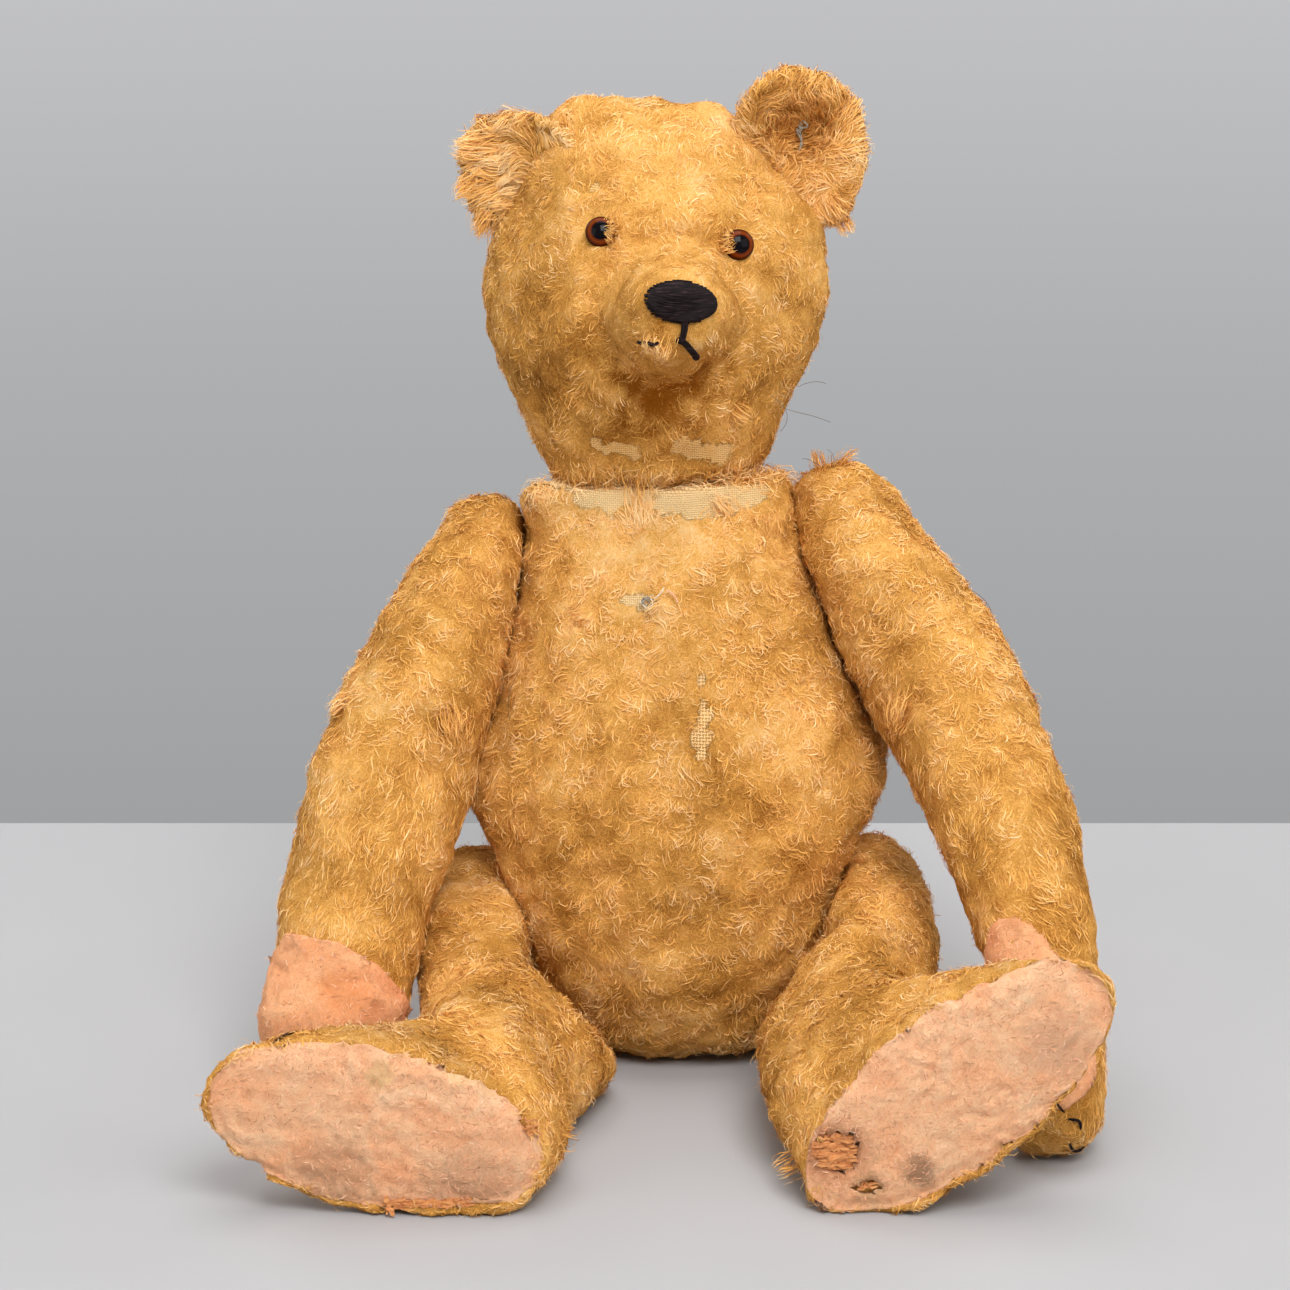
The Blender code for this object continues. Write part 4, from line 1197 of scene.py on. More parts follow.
def headings(part, how, places, normals, rng, stray=0.2):
    """Which way the pile lies at each place, and where it is the frayed edge of a cover."""
    lay = np.tile(np.array(how["lay"], float), (len(places), 1))
    if how["away"] is not None:
        lay = unit(places - np.array(how["away"]))
    if part == "head":
        nose = on_head(0.2, -3.5, 52)
        away = places - nose
        far = np.linalg.norm(away, axis=1)
        muzzle = 1 - smoothstep(far, 22, 38)
        top = smoothstep((places - HEAD_MIDDLE) @ UP, 12, 34)
        lay = lay * (1 - top)[:, None] + (0.7 * UP - 0.5 * FORWARD) * top[:, None]
        lay = lay * (1 - muzzle)[:, None] + unit(away) * muzzle[:, None]
    if part.startswith("arm"):
        lay = ARM_DOWN[part[4:]] + 0 * lay
    push = swirl(places, part + "swirl", how["size"])
    push = push + 0.5 * swirl(places, part + "eddy", how["size"] * 0.45)
    lay = lay + push * (how["swirl"] * (1 - calm_share(part, places)))[:, None]
    edge, hang = neck_share(part, places)
    lay = lay * (1 - 0.8 * edge)[:, None] + 1.6 * hang * edge[:, None]
    if part.startswith("leg"):
        share, plane = sole_share(part[4:], places)
        rim = (1 - smoothstep(places[:, 1], plane + 2, plane + 9)) * 0.8
        lay = lay * (1 - rim)[:, None] + np.array([0, -1.5, 0]) * rim[:, None]
        edge = np.maximum(edge, 0.5 * rim)
    lay = unit(along_cover(lay, normals))
    return unit(lay + stray * rng.normal(size=lay.shape)), edge


def calm_share(part, places):
    """1 where the pile lies straight and flat, and 0 where it curls."""
    if part.startswith("arm"):
        return 0.85 * smoothstep(places[:, 2], 112, 84)
    if part == "head":
        return 0.35 * smoothstep(np.abs((places - HEAD_MIDDLE) @ ACROSS), 26, 42)
    return np.zeros(len(places))


def turned_about(vectors, normals, angle):
    """Vectors turned about the normals by the angles."""
    c, s = np.cos(angle)[:, None], np.sin(angle)[:, None]
    return vectors * c + np.cross(normals, vectors) * s


def walk(surface, places, normals, ways, length, bend, steps):
    """Follows the pile over the cover: places and normals of each step of each lock."""
    path, up = [places], [normals]
    for _ in range(steps):
        ways = turned_about(ways, normals, bend / steps)
        places, normals = surface.nearest(places + ways * (length / steps)[:, None])
        ways = unit(along_cover(ways, normals))
        path.append(places)
        up.append(normals)
    return np.stack(path, 1), np.stack(up, 1)


def nearest_of(points, centres):
    """For each point, which centre is nearest, and how far it is."""
    tree = KDTree(len(centres))
    for k, centre in enumerate(centres.tolist()):
        tree.insert(centre, k)
    tree.balance()
    found = [tree.find(point) for point in points.tolist()]
    return np.array([hit[1] for hit in found]), np.array([hit[2] for hit in found])


# Each layer of the pile: steps, and shares of the usual length, lift, width and bunching,
# how far the shade of its tips and roots differs, how much its fibres twist and stray.
LAYERS = {
    "locks": dict(steps=3, long=1.3, lift=1.0, wide=1.1, bunch=1.0, fade=(-0.20, 0.18), twist=20,
                  lighter=0.08, stray=0.2),
    "under": dict(steps=2, long=0.85, lift=0.75, wide=1.0, bunch=0.7, fade=(-0.12, 0.06), twist=18,
                  lighter=-0.05, stray=0.45),
    "fuzz": dict(steps=2, long=0.9, lift=1.7, wide=0.5, bunch=0.2, fade=(-0.02, 0.16), twist=40,
                 lighter=0.10, stray=0.9),
    "fringe": dict(steps=3, long=1.7, lift=1.9, wide=0.85, bunch=0.7, fade=(-0.15, 0.18), twist=30,
                   lighter=0.06, stray=0.5),
}


def grow(part, surface, layer):
    """One layer of a cover's pile, as ribbons() takes it."""
    how, kind = STYLES[part], LAYERS[layer]
    rng = dice(part + layer)
    steps = kind["steps"]
    over_bare = 0.45 if layer == "fuzz" else 0.0

    def room(middles):
        share = thin_share(part, middles) * open_share(part, middles)
        share *= 1 - (1 - over_bare) * bare_share(part, middles)
        return share * neck_share(part, middles)[0] ** 2 if layer == "fringe" else share

    places, normals = surface.scatter(how[layer], room, rng)
    keep = bare_share(part, places) * (1 - over_bare) < rng.uniform(0.3, 0.9, len(places))
    for middle, radius in CLEARINGS.get(part, []):
        keep &= np.linalg.norm(places - middle, axis=1) > radius * rng.uniform(0.9, 1.15, len(places))
    places, normals = places[keep], normals[keep]
    count = len(places)
    ways, edge = headings(part, how, places, normals, rng, kind["stray"] * how["stray"])
    reach = length_share(part, places) * (1 + 0.4 * edge)
    length = rng.uniform(*how["length"], count) * (0.75 + 0.25 * thin_share(part, places))
    length *= reach * kind["long"]
    centres, curl, rise, tone, hue, spread = BUNCHES[part]
    of, away = nearest_of(places, centres)
    calm = calm_share(part, places)
    bend = np.radians(how["curl"]) * (0.8 * curl[of] + 0.45 * rng.normal(size=count))
    bend = bend * (1 - 0.8 * calm)
    path, up = walk(surface, places, normals, ways, length, bend * (length / 6.0), steps)
    mound = np.exp(-((away / spread[of]) ** 2))
    profile = np.interp(np.linspace(0, 1, steps + 1), (0, 0.33, 0.66, 1), (0, 0.65, 1.0, 0.85))
    lift = how["lift"] * kind["lift"] * rng.uniform(0.6, 1.25, count) * rise[of] * (0.6 + 0.6 * mound)
    lift *= (1 - 0.35 * calm) * reach
    pull = np.linspace(0, 1, steps + 1) ** 1.3 * how["clump"] * kind["bunch"]
    near = np.clip(1.4 - away / 5.5, 0, 1)
    toward = centres[of] + TIPS[part][of] - path[:, -1]
    path = path + toward[:, None, :] * pull[None, :, None] * near[:, None, None]
    path = path + up * (profile[None, :] * lift[:, None] - 0.15)[:, :, None]
    shade, warmth = marks_at(part, places)
    shade = how["shade"] + shade + tone[of] + 0.10 * rng.normal(size=count) + kind["lighter"]
    # Painted shade in the hollows between the bunches and painted light on their tops, with a broad random tone.
    shade += 0.05 * mottle(places, part + "tone", 24) + 0.11 * (mound - 0.5)
    warmth = how["warmth"] + warmth + hue[of] + 0.02 * rng.normal(size=count)
    warmth += 0.07 * mottle(places, part + "hue", 30) + warm_share(part, places)
    wide = how["wide"] * kind["wide"] * rng.uniform(0.6, 1.3, count)
    twist = np.radians(kind["twist"]) * rng.normal(size=count)
    return path, up, wide, twist, shade, warmth, kind["fade"]


# The bunches of each cover's pile, and the way from each one's middle to its tip.
BUNCHES, TIPS = {}, {}


def gather(part, surface):
    """The bunches that a cover's pile has matted into: middles, curls, heights and tones."""
    how, rng = STYLES[part], dice(part + "bunch")
    count = (how["locks"] + how["under"]) // (2 * how["per_clump"])

    def crowd(middles):
        return np.exp(0.8 * mottle(middles, part + "crowd", 13))

    centres, normals = surface.scatter(count, crowd, rng)
    ways, _ = headings(part, how, centres, normals, rng)
    curl = rng.normal(size=count)
    area = np.linalg.norm(surface.flat, axis=1).sum() / 2
    spread = 0.66 * math.sqrt(area / count) * rng.uniform(0.6, 1.5, count)
    length = np.full(count, np.mean(how["length"]) * 0.55)
    path, _ = walk(surface, centres, normals, ways, length, np.radians(how["curl"]) * curl * 0.6, 2)
    BUNCHES[part] = (centres, curl, rng.uniform(0.4, 1.5, count), 0.05 * rng.normal(size=count),
                     0.035 * rng.normal(size=count), spread)
    TIPS[part] = path[:, -1] - centres


def open_share(part, places):
    """Where pile can be: none under what lies against the cover."""
    share = np.ones(len(places))
    for tree, low, high in PRESSING[part]:
        near = np.where(((places > low - 3) & (places < high + 3)).all(1))[0]
        for k in near:
            if tree.find_nearest(places[k].tolist(), 1.0)[0] is not None:
                share[k] = 0.05
    share[places[:, 2] < 0.8] = 0.1
    if part.startswith("leg"):
        inside, plane = sole_share(part[4:], places)
        share[(places[:, 1] < plane + 6) & (inside < 0.985)] = 0
    return share


def length_share(part, places):
    """How long the pile is, as a share of its usual length."""
    share = np.ones(len(places))
    if part == "head":
        for middle, radius in CLEARINGS["head"]:
            far = np.linalg.norm(places - middle, axis=1)
            share *= 0.5 + 0.5 * smoothstep(far, radius, radius + 5)
        muzzle = np.linalg.norm(places - on_head(0.2, -8, 50), axis=1)
        share *= 0.7 + 0.3 * smoothstep(muzzle, 14, 30)
    if part == "ear_left":
        share *= 0.4 + 0.6 * smoothstep(-places[:, 0], 36, 48)
    return share


def warm_share(part, places):
    """Greyer on the head's sides and where hands have held it."""
    if part == "head":
        return -0.12 * smoothstep(np.abs((places - HEAD_MIDDLE) @ ACROSS), 22, 44)
    return np.zeros(len(places))


def ribbons(name, paths, finish):
    """Flat tapering fibres from (points, normals, half width, twist, shade, warmth) sets."""
    verts, maps, loops, sizes, start = [], [], [], [], 0
    for path, up, half, twist, shade, warmth, ends in paths:
        count, steps = path.shape[0], path.shape[1]
        along = unit(np.gradient(path, axis=1))
        side = unit(np.cross(up, along))
        raised_side = np.cross(along, side)
        turn = twist[:, None, None]
        side = side * np.cos(turn) + raised_side * np.sin(turn)
        taper = np.linspace(1.0, 0.75, steps)[None, :, None] * half[:, None, None]
        if steps > 3:
            taper[:, 0] *= 0.8
        left, right = path - side * taper, path + side * taper
        rows = np.empty((count, 2 * steps - 1, 3))
        rows[:, 0 : 2 * steps - 2 : 2] = left[:, :-1]
        rows[:, 1 : 2 * steps - 2 : 2] = right[:, :-1]
        rows[:, -1] = path[:, -1]
        verts.append(rows.reshape(-1, 3))
        fade = np.linspace(*ends, steps)
        tone = np.empty((count, 2 * steps - 1, 2))
        for k in range(steps - 1):
            tone[:, 2 * k, 0] = tone[:, 2 * k + 1, 0] = shade + fade[k]
            tone[:, 2 * k + 1, 0] += 0.03
        tone[:, -1, 0] = shade + fade[-1]
        tone[:, :, 1] = warmth[:, None]
        tone[:, 1::2, 1] += 0.03
        maps.append(tone.reshape(-1, 2))
        first = start + np.arange(count) * (2 * steps - 1)
        shape = []
        for k in range(steps - 2):
            shape += [2 * k, 2 * k + 2, 2 * k + 3, 2 * k + 1]
        shape += [2 * steps - 4, 2 * steps - 2, 2 * steps - 3]
        loops.append((first[:, None] + np.array(shape)[None, :]).ravel())
        sizes.append(np.tile([4] * (steps - 2) + [3], count))
        start += count * (2 * steps - 1)
    verts, maps = np.concatenate(verts), np.clip(np.concatenate(maps), 0.01, 0.99)
    verts[:, 2] = np.maximum(verts[:, 2], FLOOR_ROOM + 0.1)
    loops, sizes = np.concatenate(loops), np.concatenate(sizes)
    mesh = bpy.data.meshes.new(name)
    mesh.vertices.add(len(verts))
    mesh.vertices.foreach_set("co", (verts * MM).astype(np.float32).ravel())
    mesh.loops.add(len(loops))
    mesh.loops.foreach_set("vertex_index", loops.astype(np.int32))
    mesh.polygons.add(len(sizes))
    mesh.polygons.foreach_set("loop_start", np.concatenate([[0], np.cumsum(sizes)[:-1]]).astype(np.int32))
    layer = mesh.uv_layers.new(name="OFBake")
    layer.uv.foreach_set("vector", maps[loops].astype(np.float32).ravel())
    mesh.update(calc_edges=True)
    mesh.validate()
    mesh.shade_smooth()
    piece = linked(name, mesh)
    piece.data.materials.append(finish)
    return piece


# Single tufts: where they grow, which way they point, how many fibres, how long they are,
# how wide the root is, how much lighter they are, and for some how high they stand.
TUFTS = {
    "head": [
        ((-9, -24, 206), (0.1, -0.7, -1), 130, 3.2, 1.8, 0.12, 1.4),
        ((-12.5, -23.5, 207), (-0.2, -0.7, -1), 90, 3, 1.3, 0.12, 1.4),
        ((-13.5, 12, 162), (0.1, -0.7, -1), 110, 8, 2.2, 0.06),
        ((12, 8, 182), (1, -0.2, -0.7), 24, 6, 1, 0.06), ((-37, 30, 258), (0, 0, 1), 10, 6, 0.2, -0.3),
    ],
    "body": [
        ((-14, 8.5, 155.5), (0.1, -0.6, -1), 120, 8, 2.4, 0.1),
        ((-20, 9.5, 152), (0.7, -0.3, -0.7), 60, 7, 1.5, 0.1),
        ((10, 9, 152.5), (-0.6, -0.3, 0.6), 60, 6.5, 1.5, 0.1),
        ((-9, -8, 132), (-0.6, -0.2, -0.5), 26, 6, 0.8, 0.16),
    ],
    "ear_left": [
        ((-56, 44, 231), (-0.5, -0.2, -1), 130, 8, 1.6, -0.04),
        ((-52, 44, 227.5), (-0.1, -0.2, -1), 130, 8.5, 1.4, -0.08),
        ((-61, 44, 240), (-1, -0.2, -0.7), 110, 8, 1.8, 0.02),
        ((-60, 45, 250), (-1, -0.2, 0), 110, 9, 2, 0.06),
    ],
    "ear_right": [((44, 44, 228), (0.5, -0.3, -1), 60, 6, 1.4, 0.06)],
    "arm_left": [
        ((-94.2, -8.3, 103.5), (-0.8, -0.4, -0.8), 110, 6, 1.8, 0.06),
        ((-66, -18, 101), (0.2, -0.6, -1), 120, 6.5, 3, -0.02),
    ],
    "arm_right": [
        ((36.6, 25.8, 160.9), (-0.2, -0.5, 0.9), 50, 7, 1.2, -0.04),
        ((42, 26, 161.5), (0.7, -0.2, 0.6), 50, 7, 1.2, -0.06),
        ((56, -21.5, 105), (-0.2, -0.6, -1), 110, 6, 3, 0),
    ],
    "leg_right": [((24, -114, 7), (-1, -0.4, -0.3), 34, 6.5, 2.2, 0.02)],
    "leg_left": [((-34, -112, 14), (1, -0.5, 0.2), 20, 4.5, 2.6, 0)],
}


# Pile that hangs over the eyes: how far across and up from an eye's middle it grows, which
# way it lies, and how many fibres there are.
EYE_PILE = {
    "left": [
        ((4.8, 2), (-1, -0.3), 44), ((5, -0.6), (-1, 0.1), 50), ((4.2, -3.2), (-0.8, 0.6), 44),
        ((2.6, 4.4), (-0.4, -1), 24),
    ],
    "right": [
        ((-5, 1), (1, -0.1), 46), ((-4.6, -2), (1, 0.4), 40), ((-2.8, 4.2), (0.5, -1), 50),
        ((0.6, 4.8), (0.1, -1), 40),
    ],
}


def eye_pile(surface):
    """Short fibres that grow beside the eyes and lie over the glass."""
    rng, made = dice("eye pile"), []
    share = np.linspace(0, 1, 4)[None, :, None]
    for side, groups in EYE_PILE.items():
        spot, _ = eye_place(side)
        for (x, y), (over, along), count in groups:
            roots = spot + ACROSS * x + UP * y + 0.7 * rng.normal(size=(count, 3))
            spots, normals = surface.nearest(roots)
            way = unit(ACROSS * over + UP * along + 0.18 * rng.normal(size=(count, 3)))
            reach = rng.uniform(1.6, 3.0, (count, 1))
            path = spots[:, None] + (way * reach)[:, None] * share
            path += (FORWARD * 2.9) * np.sin(share * 2.2)
            path += (0.3 * rng.normal(size=(count, 3)))[:, None] * (4 * share * (1 - share))
            shade, warmth = marks_at("head", spots)
            shade += 0.45 + 0.09 * rng.normal(size=count)
            made.append((path, np.repeat(normals[:, None], 4, 1), rng.uniform(0.05, 0.10, count),
                         0.5 * rng.normal(size=count), shade, warmth + 0.5, (-0.2, 0.16)))
    return made


def tufts(part, surface):
    """The tufts that stand out from a cover's pile."""
    rng, made = dice(part + "tuft"), []
    share = np.linspace(0, 1, 4)[None, :, None]
    for root, way, count, length, wide, lighter, *rise in TUFTS.get(part, []):
        spots, normals = surface.nearest(np.array(root) + wide * rng.normal(size=(count, 3)))
        way = unit(np.array(way))
        own = unit(way + 0.22 * rng.normal(size=(count, 3)))
        reach = length * rng.uniform(0.55, 1.1, (count, 1))
        ends = spots * 0.55 + spots.mean(0) * 0.45 + way * length * 0.35 + own * reach * 0.65
        bow = 0.12 * length * rng.normal(size=(count, 3))
        path = spots[:, None] * (1 - share) + ends[:, None] * share
        path = path + bow[:, None] * (4 * share * (1 - share))
        path += (normals * (rise[0] if rise else 0.9))[:, None] * np.sin(share * 2.6)
        up = np.repeat(normals[:, None], 4, 1)
        shade, warmth = marks_at(part, spots)
        shade += STYLES[part]["shade"] + lighter + 0.1 * rng.normal(size=count)
        warmth += STYLES[part]["warmth"] + 0.04 * rng.normal(size=count)
        half, twist = rng.uniform(0.07, 0.14, count), 0.5 * rng.normal(size=count)
        made.append((path, up, half, twist, shade, warmth, (-0.16, 0.16)))
    return made


def make_pile(part, surface):
    """The pile of one cover: its layers, its tufts, and on the head the pile over the eyes."""
    layers = [grow(part, surface, layer) for layer in LAYERS if STYLES[part][layer]]
    extra = eye_pile(surface) if part == "head" else []
    piece = ribbons(part + "_pile", layers + tufts(part, surface) + extra, PILE)
    bind(piece, BODY_OF[part], slot_of(part))


# ------------------------------------------------------------------ the face


def cast_on(surface, start, way):
    """Where a ray from a point meets a surface, and its normal there."""
    surface.nearest(surface.points[:1])
    spot, normal, _, _ = surface.tree.ray_cast(start.tolist(), way.tolist())
    return np.array(spot), np.array(normal)


def threads(name, routes, finish, sides=2):
    """Round threads through (points, radius) routes, as one mesh."""
    wire = bpy.data.curves.new(name, "CURVE")
    wire.dimensions = "3D"
    wire.bevel_depth = MM
    wire.bevel_resolution = sides
    wire.use_fill_caps = True
    wire.resolution_u = 3
    for points, radius in routes:
        spline = wire.splines.new("NURBS")
        spline.points.add(len(points) - 1)
        sizes = radius if hasattr(radius, "__len__") else [radius] * len(points)
        for knot, point, size in zip(spline.points, points, sizes):
            knot.co = (*(Vector(point) * MM), 1.0)
            knot.radius = size
        spline.order_u = 3
        spline.use_endpoint_u = True
    piece = linked(name, wire)
    mesh = bpy.data.meshes.new_from_object(piece.evaluated_get(bpy.context.evaluated_depsgraph_get()))
    bpy.data.objects.remove(piece)
    mesh.name = name
    mesh.shade_smooth()
    piece = linked(name, mesh)
    piece.data.materials.append(finish)
    return piece


# An eye: its radius, how flat its dome is, how far it is seated, and how clear it is of pile.
EYE_RADIUS, EYE_FLAT, EYE_SEAT, EYE_CLEAR = 4.3, 0.62, 1.1, 4.1
# The nose: its half sizes, its middle on the head, its tilt, its rows and stray stitches.
NOSE_WIDE, NOSE_HIGH, NOSE_X, NOSE_Y, NOSE_TILT = 9.4, 5.6, -0.3, -3.6, math.radians(-6)
NOSE_ROWS, NOSE_STRAYS = 24, 14


def nose_spot(head, u, v, rise):
    """A point over the nose, from -1..1 across and up it."""
    x, y = u * NOSE_WIDE, v * NOSE_HIGH
    c, s = math.cos(NOSE_TILT), math.sin(NOSE_TILT)
    x, y = x * c - y * s, x * s + y * c
    spot, normal = cast_on(head, on_head(NOSE_X + x, NOSE_Y + y, BEFORE_FACE), -FORWARD)
    dome = math.sqrt(max(0.0, 1 - (u * u + v * v)))
    return spot + normal * (rise + 1.1 * dome)


def make_nose(head):
    """Satin stitches side by side over a padded oval, with stray threads over them."""
    rng = dice("nose")
    base = remeshed(merged_solid("nose_stitching"), "nose_padding", 0.6)
    surface = Surface(base)
    surface.smooth(5)
    surface.points += FORWARD * (MUZZLE_OUT + 0.1)
    surface.store()
    finish_piece(base, BLACK_THREAD, "head", "thread", "nose_stitching")
    routes = []
    for row in range(NOSE_ROWS + NOSE_STRAYS):
        extra = row >= NOSE_ROWS
        v = rng.uniform(-0.85, 0.85) if extra else -0.96 + 1.92 * row / (NOSE_ROWS - 1)
        half = math.sqrt(max(0.02, 1 - v * v)) * rng.uniform(0.96, 1.02)
        half *= rng.uniform(0.5, 0.98) if extra else 1.0
        tilt = rng.normal() * (0.03 if not extra else 0.12)
        bow = 0.10 * (1 - abs(v)) + rng.normal() * 0.03
        points = []
        for u in np.linspace(-half, half, 9):
            height = v + tilt * u - bow * (1 - (u / half) ** 2) + bow * 0.4
            limit = math.sqrt(max(0.0, 1.02 - u * u))
            height = min(max(height, -limit), limit)
            points.append(nose_spot(head, u, height, 0.30 + 0.28 * extra + 0.06 * rng.random()))
        routes.append((points, 0.27 if not extra else 0.2))
    bind(threads("nose_satin_stitches", routes, BLACK_THREAD), "head", "thread")


def face_route(head, spots, rise):
    """A thread's way over the face, from places across and up it."""
    hits = [cast_on(head, on_head(x, y, BEFORE_FACE), -FORWARD) for x, y in spots]
    return [spot + normal * rise for spot, normal in hits]


def make_mouth(head):
    """The lip and the mouth: doubled black threads, the right one ending in a knot."""
    lip = [(0.0, -8.0), (-0.1, -9.8), (-0.4, -11.8), (-1.0, -13.8)]
    left = [(-10.2, -13.2), (-9.2, -13.9), (-8.0, -13.5), (-7.0, -14.2), (-5.6, -13.9)]
    right = [(-2.0, -13.4), (-0.6, -13.8), (0.8, -14.8), (2.0, -16.0), (3.1, -17.1)]
    knot = [(2.8, -16.4), (3.8, -16.5), (4.0, -17.5), (3.2, -17.8), (2.6, -17.1)]
    routes = [(face_route(head, lip, 1.1), [0.75, 0.6, 0.5, 0.45]),
              (face_route(head, [(x + 0.7, y) for x, y in lip], 1.3), [0.6, 0.5, 0.45, 0.4])]
    mouth = [(face_route(head, left, 1.9), [0.4, 0.65, 0.5, 0.65, 0.4]),
             (face_route(head, right, 1.2), 0.7),
             (face_route(head, [(x + 0.2, y + 0.6) for x, y in right], 1.4), 0.5),
             (face_route(head, knot, 1.5), 0.5)]
    bind(threads("lip_threads", routes, BLACK_THREAD), "head", "thread", "lip_stitch")
    bind(threads("mouth_threads", mouth, BLACK_THREAD), "head", "thread", "mouth_stitch")


def eye_place(side):
    """The middle and the axis of an eye."""
    low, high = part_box("eye_" + side)
    middle = np.array((low + high) / 2) / MM
    spot, normal = cast_on(SURFACES["head"], middle + FORWARD * 30, -FORWARD)
    axis = unit(0.55 * normal + 0.45 * FORWARD)
    return spot - axis * 0.6, axis


def make_eye(side):
    """A glass eye: a shallow dome on a rounded rim."""
    spot, axis = eye_place(side)
    shape = bmesh.new()
    bmesh.ops.create_uvsphere(shape, u_segments=40, v_segments=24, radius=EYE_RADIUS * MM)
    aim = Vector(axis).to_track_quat("Z", "Y").to_matrix().to_4x4()
    seat = Matrix.Translation(Vector(spot + axis * EYE_SEAT) * MM)
    bmesh.ops.transform(shape, matrix=seat @ aim @ Matrix.Diagonal((1, 1, EYE_FLAT, 1)), verts=shape.verts)
    piece = linked_shape("glass_eye_" + side, shape)
    piece.data.shade_smooth()
    finish = glass_material("brown_glass_" + side, spot + axis * EYE_SEAT, axis)
    finish_piece(piece, finish, "head", "glass", "eye_" + side)


# ------------------------------------------------------------------ small things

# What is left of the claws: threads laid over the tips of the paws and the feet.
CLAWS = {
    "foot_claws_left": [
        ((-104.9, -114, 15.7), (-110.7, -120.2, 15.6), (-115.4, -126.1, 15.4)),
        ((-110.1, -114.3, 26.4), (-116.1, -120.5, 26.6), (-121.1, -126.3, 26.6)),
        ((-107.7, -114.4, 36), (-113.7, -120.6, 36.5), (-118.6, -126.4, 36.8)),
        ((-98.2, -114.2, 43.1), (-103.7, -120.6, 43.8), (-108.3, -126.5, 44.1)),
    ],
    "foot_claws_right": [
        ((91.9, -114.1, 40.8), (96.2, -120.4, 42), (99.4, -126.3, 42.6)),
        ((92.2, -114.4, 51.9), (96.6, -120.6, 53.6), (100, -126.4, 54.6)),
        ((86.4, -114.4, 58.8), (90.5, -120.7, 60.7), (93.7, -126.6, 62)),
        ((75.2, -114.5, 60.6), (78.9, -120.9, 62.2), (81.6, -126.8, 63.3)),
    ],
    "paw_claws_left": [
        ((-113.4, -40.3, 24.7), (-113.8, -42.6, 22), (-114.2, -44.8, 19.4)),
        ((-108.5, -34.3, 19.7), (-109, -36.6, 17.1), (-109.4, -38.9, 14.4)),
        ((-100.3, -30.9, 16), (-100.8, -33.2, 13.4), (-101.7, -35.8, 10.7)),
        ((-91, -31.8, 15.4), (-91.7, -34.1, 12.8), (-92.3, -36.4, 10.2)),
    ],
    "paw_claws_right": [
        ((94, -101.5, 22), (95.5, -101.9, 19.5), (97.8, -101, 17)),
        ((97, -100, 15.6), (100, -99.6, 14.4), (101.5, -98, 11)),
        ((99, -97, 9.5), (101.1, -95, 7), (103.5, -92, 5.6)),
        ((109.8, -79, 14.7), (110, -81.4, 10.7), (107.7, -77.9, 6.9)),
    ],
}


def laid(surface, points, rise):
    """Points laid on a surface, and lifted off it."""
    spots, normals = surface.nearest(np.array(points, float))
    return list(spots + normals * np.reshape(rise, (-1, 1)))


def make_claws(node, part):
    """Each claw: a short worn thread with its ends sunk in the pile."""
    rng = dice(node)
    routes = []
    for claw in CLAWS[node]:
        line = np.array(claw) + 0.6 * rng.normal(size=(3, 3))
        root, middle, tip = line
        line = [root, (root + middle) / 2, middle, (middle + tip) / 2, tip]
        line = laid(SURFACES[part], line, [-0.6, 0.7, 1.1, 0.8, -0.6])
        routes.append((line, [0.3, 0.42, 0.4, 0.42, 0.3]))
    bind(threads(node.replace("claws", "claw_threads"), routes, BLACK_THREAD), part, "thread", node)


def shavings(name, places, body):
    """Wood wool: thin flat shavings lying across a hole (start, end, half width)."""
    verts, faces = [], []
    for start, end, half in places:
        line = np.linspace(start, end, 6)
        line[1:-1] += 0.35 * dice(name + str(start[0])).normal(size=(4, 3))
        along = unit(line[-1] - line[0])
        side = unit(np.cross(along, (0, 1, 0)))
        for k, spot in enumerate(line):
            edge = side * half * (0.6 if k in (0, 5) else 1.0)
            verts += [spot - edge, spot + edge]
            if k:
                last = len(verts) - 1
                faces.append((last - 3, last - 2, last, last - 1))
    mesh = bpy.data.meshes.new(name)
    mesh.from_pydata([tuple(vert * MM) for vert in verts], [], faces)
    piece = linked(name, mesh)
    finish_piece(thickened(piece, SHAVING_THICK, 0.0), SHAVINGS, body, "wood_wool")


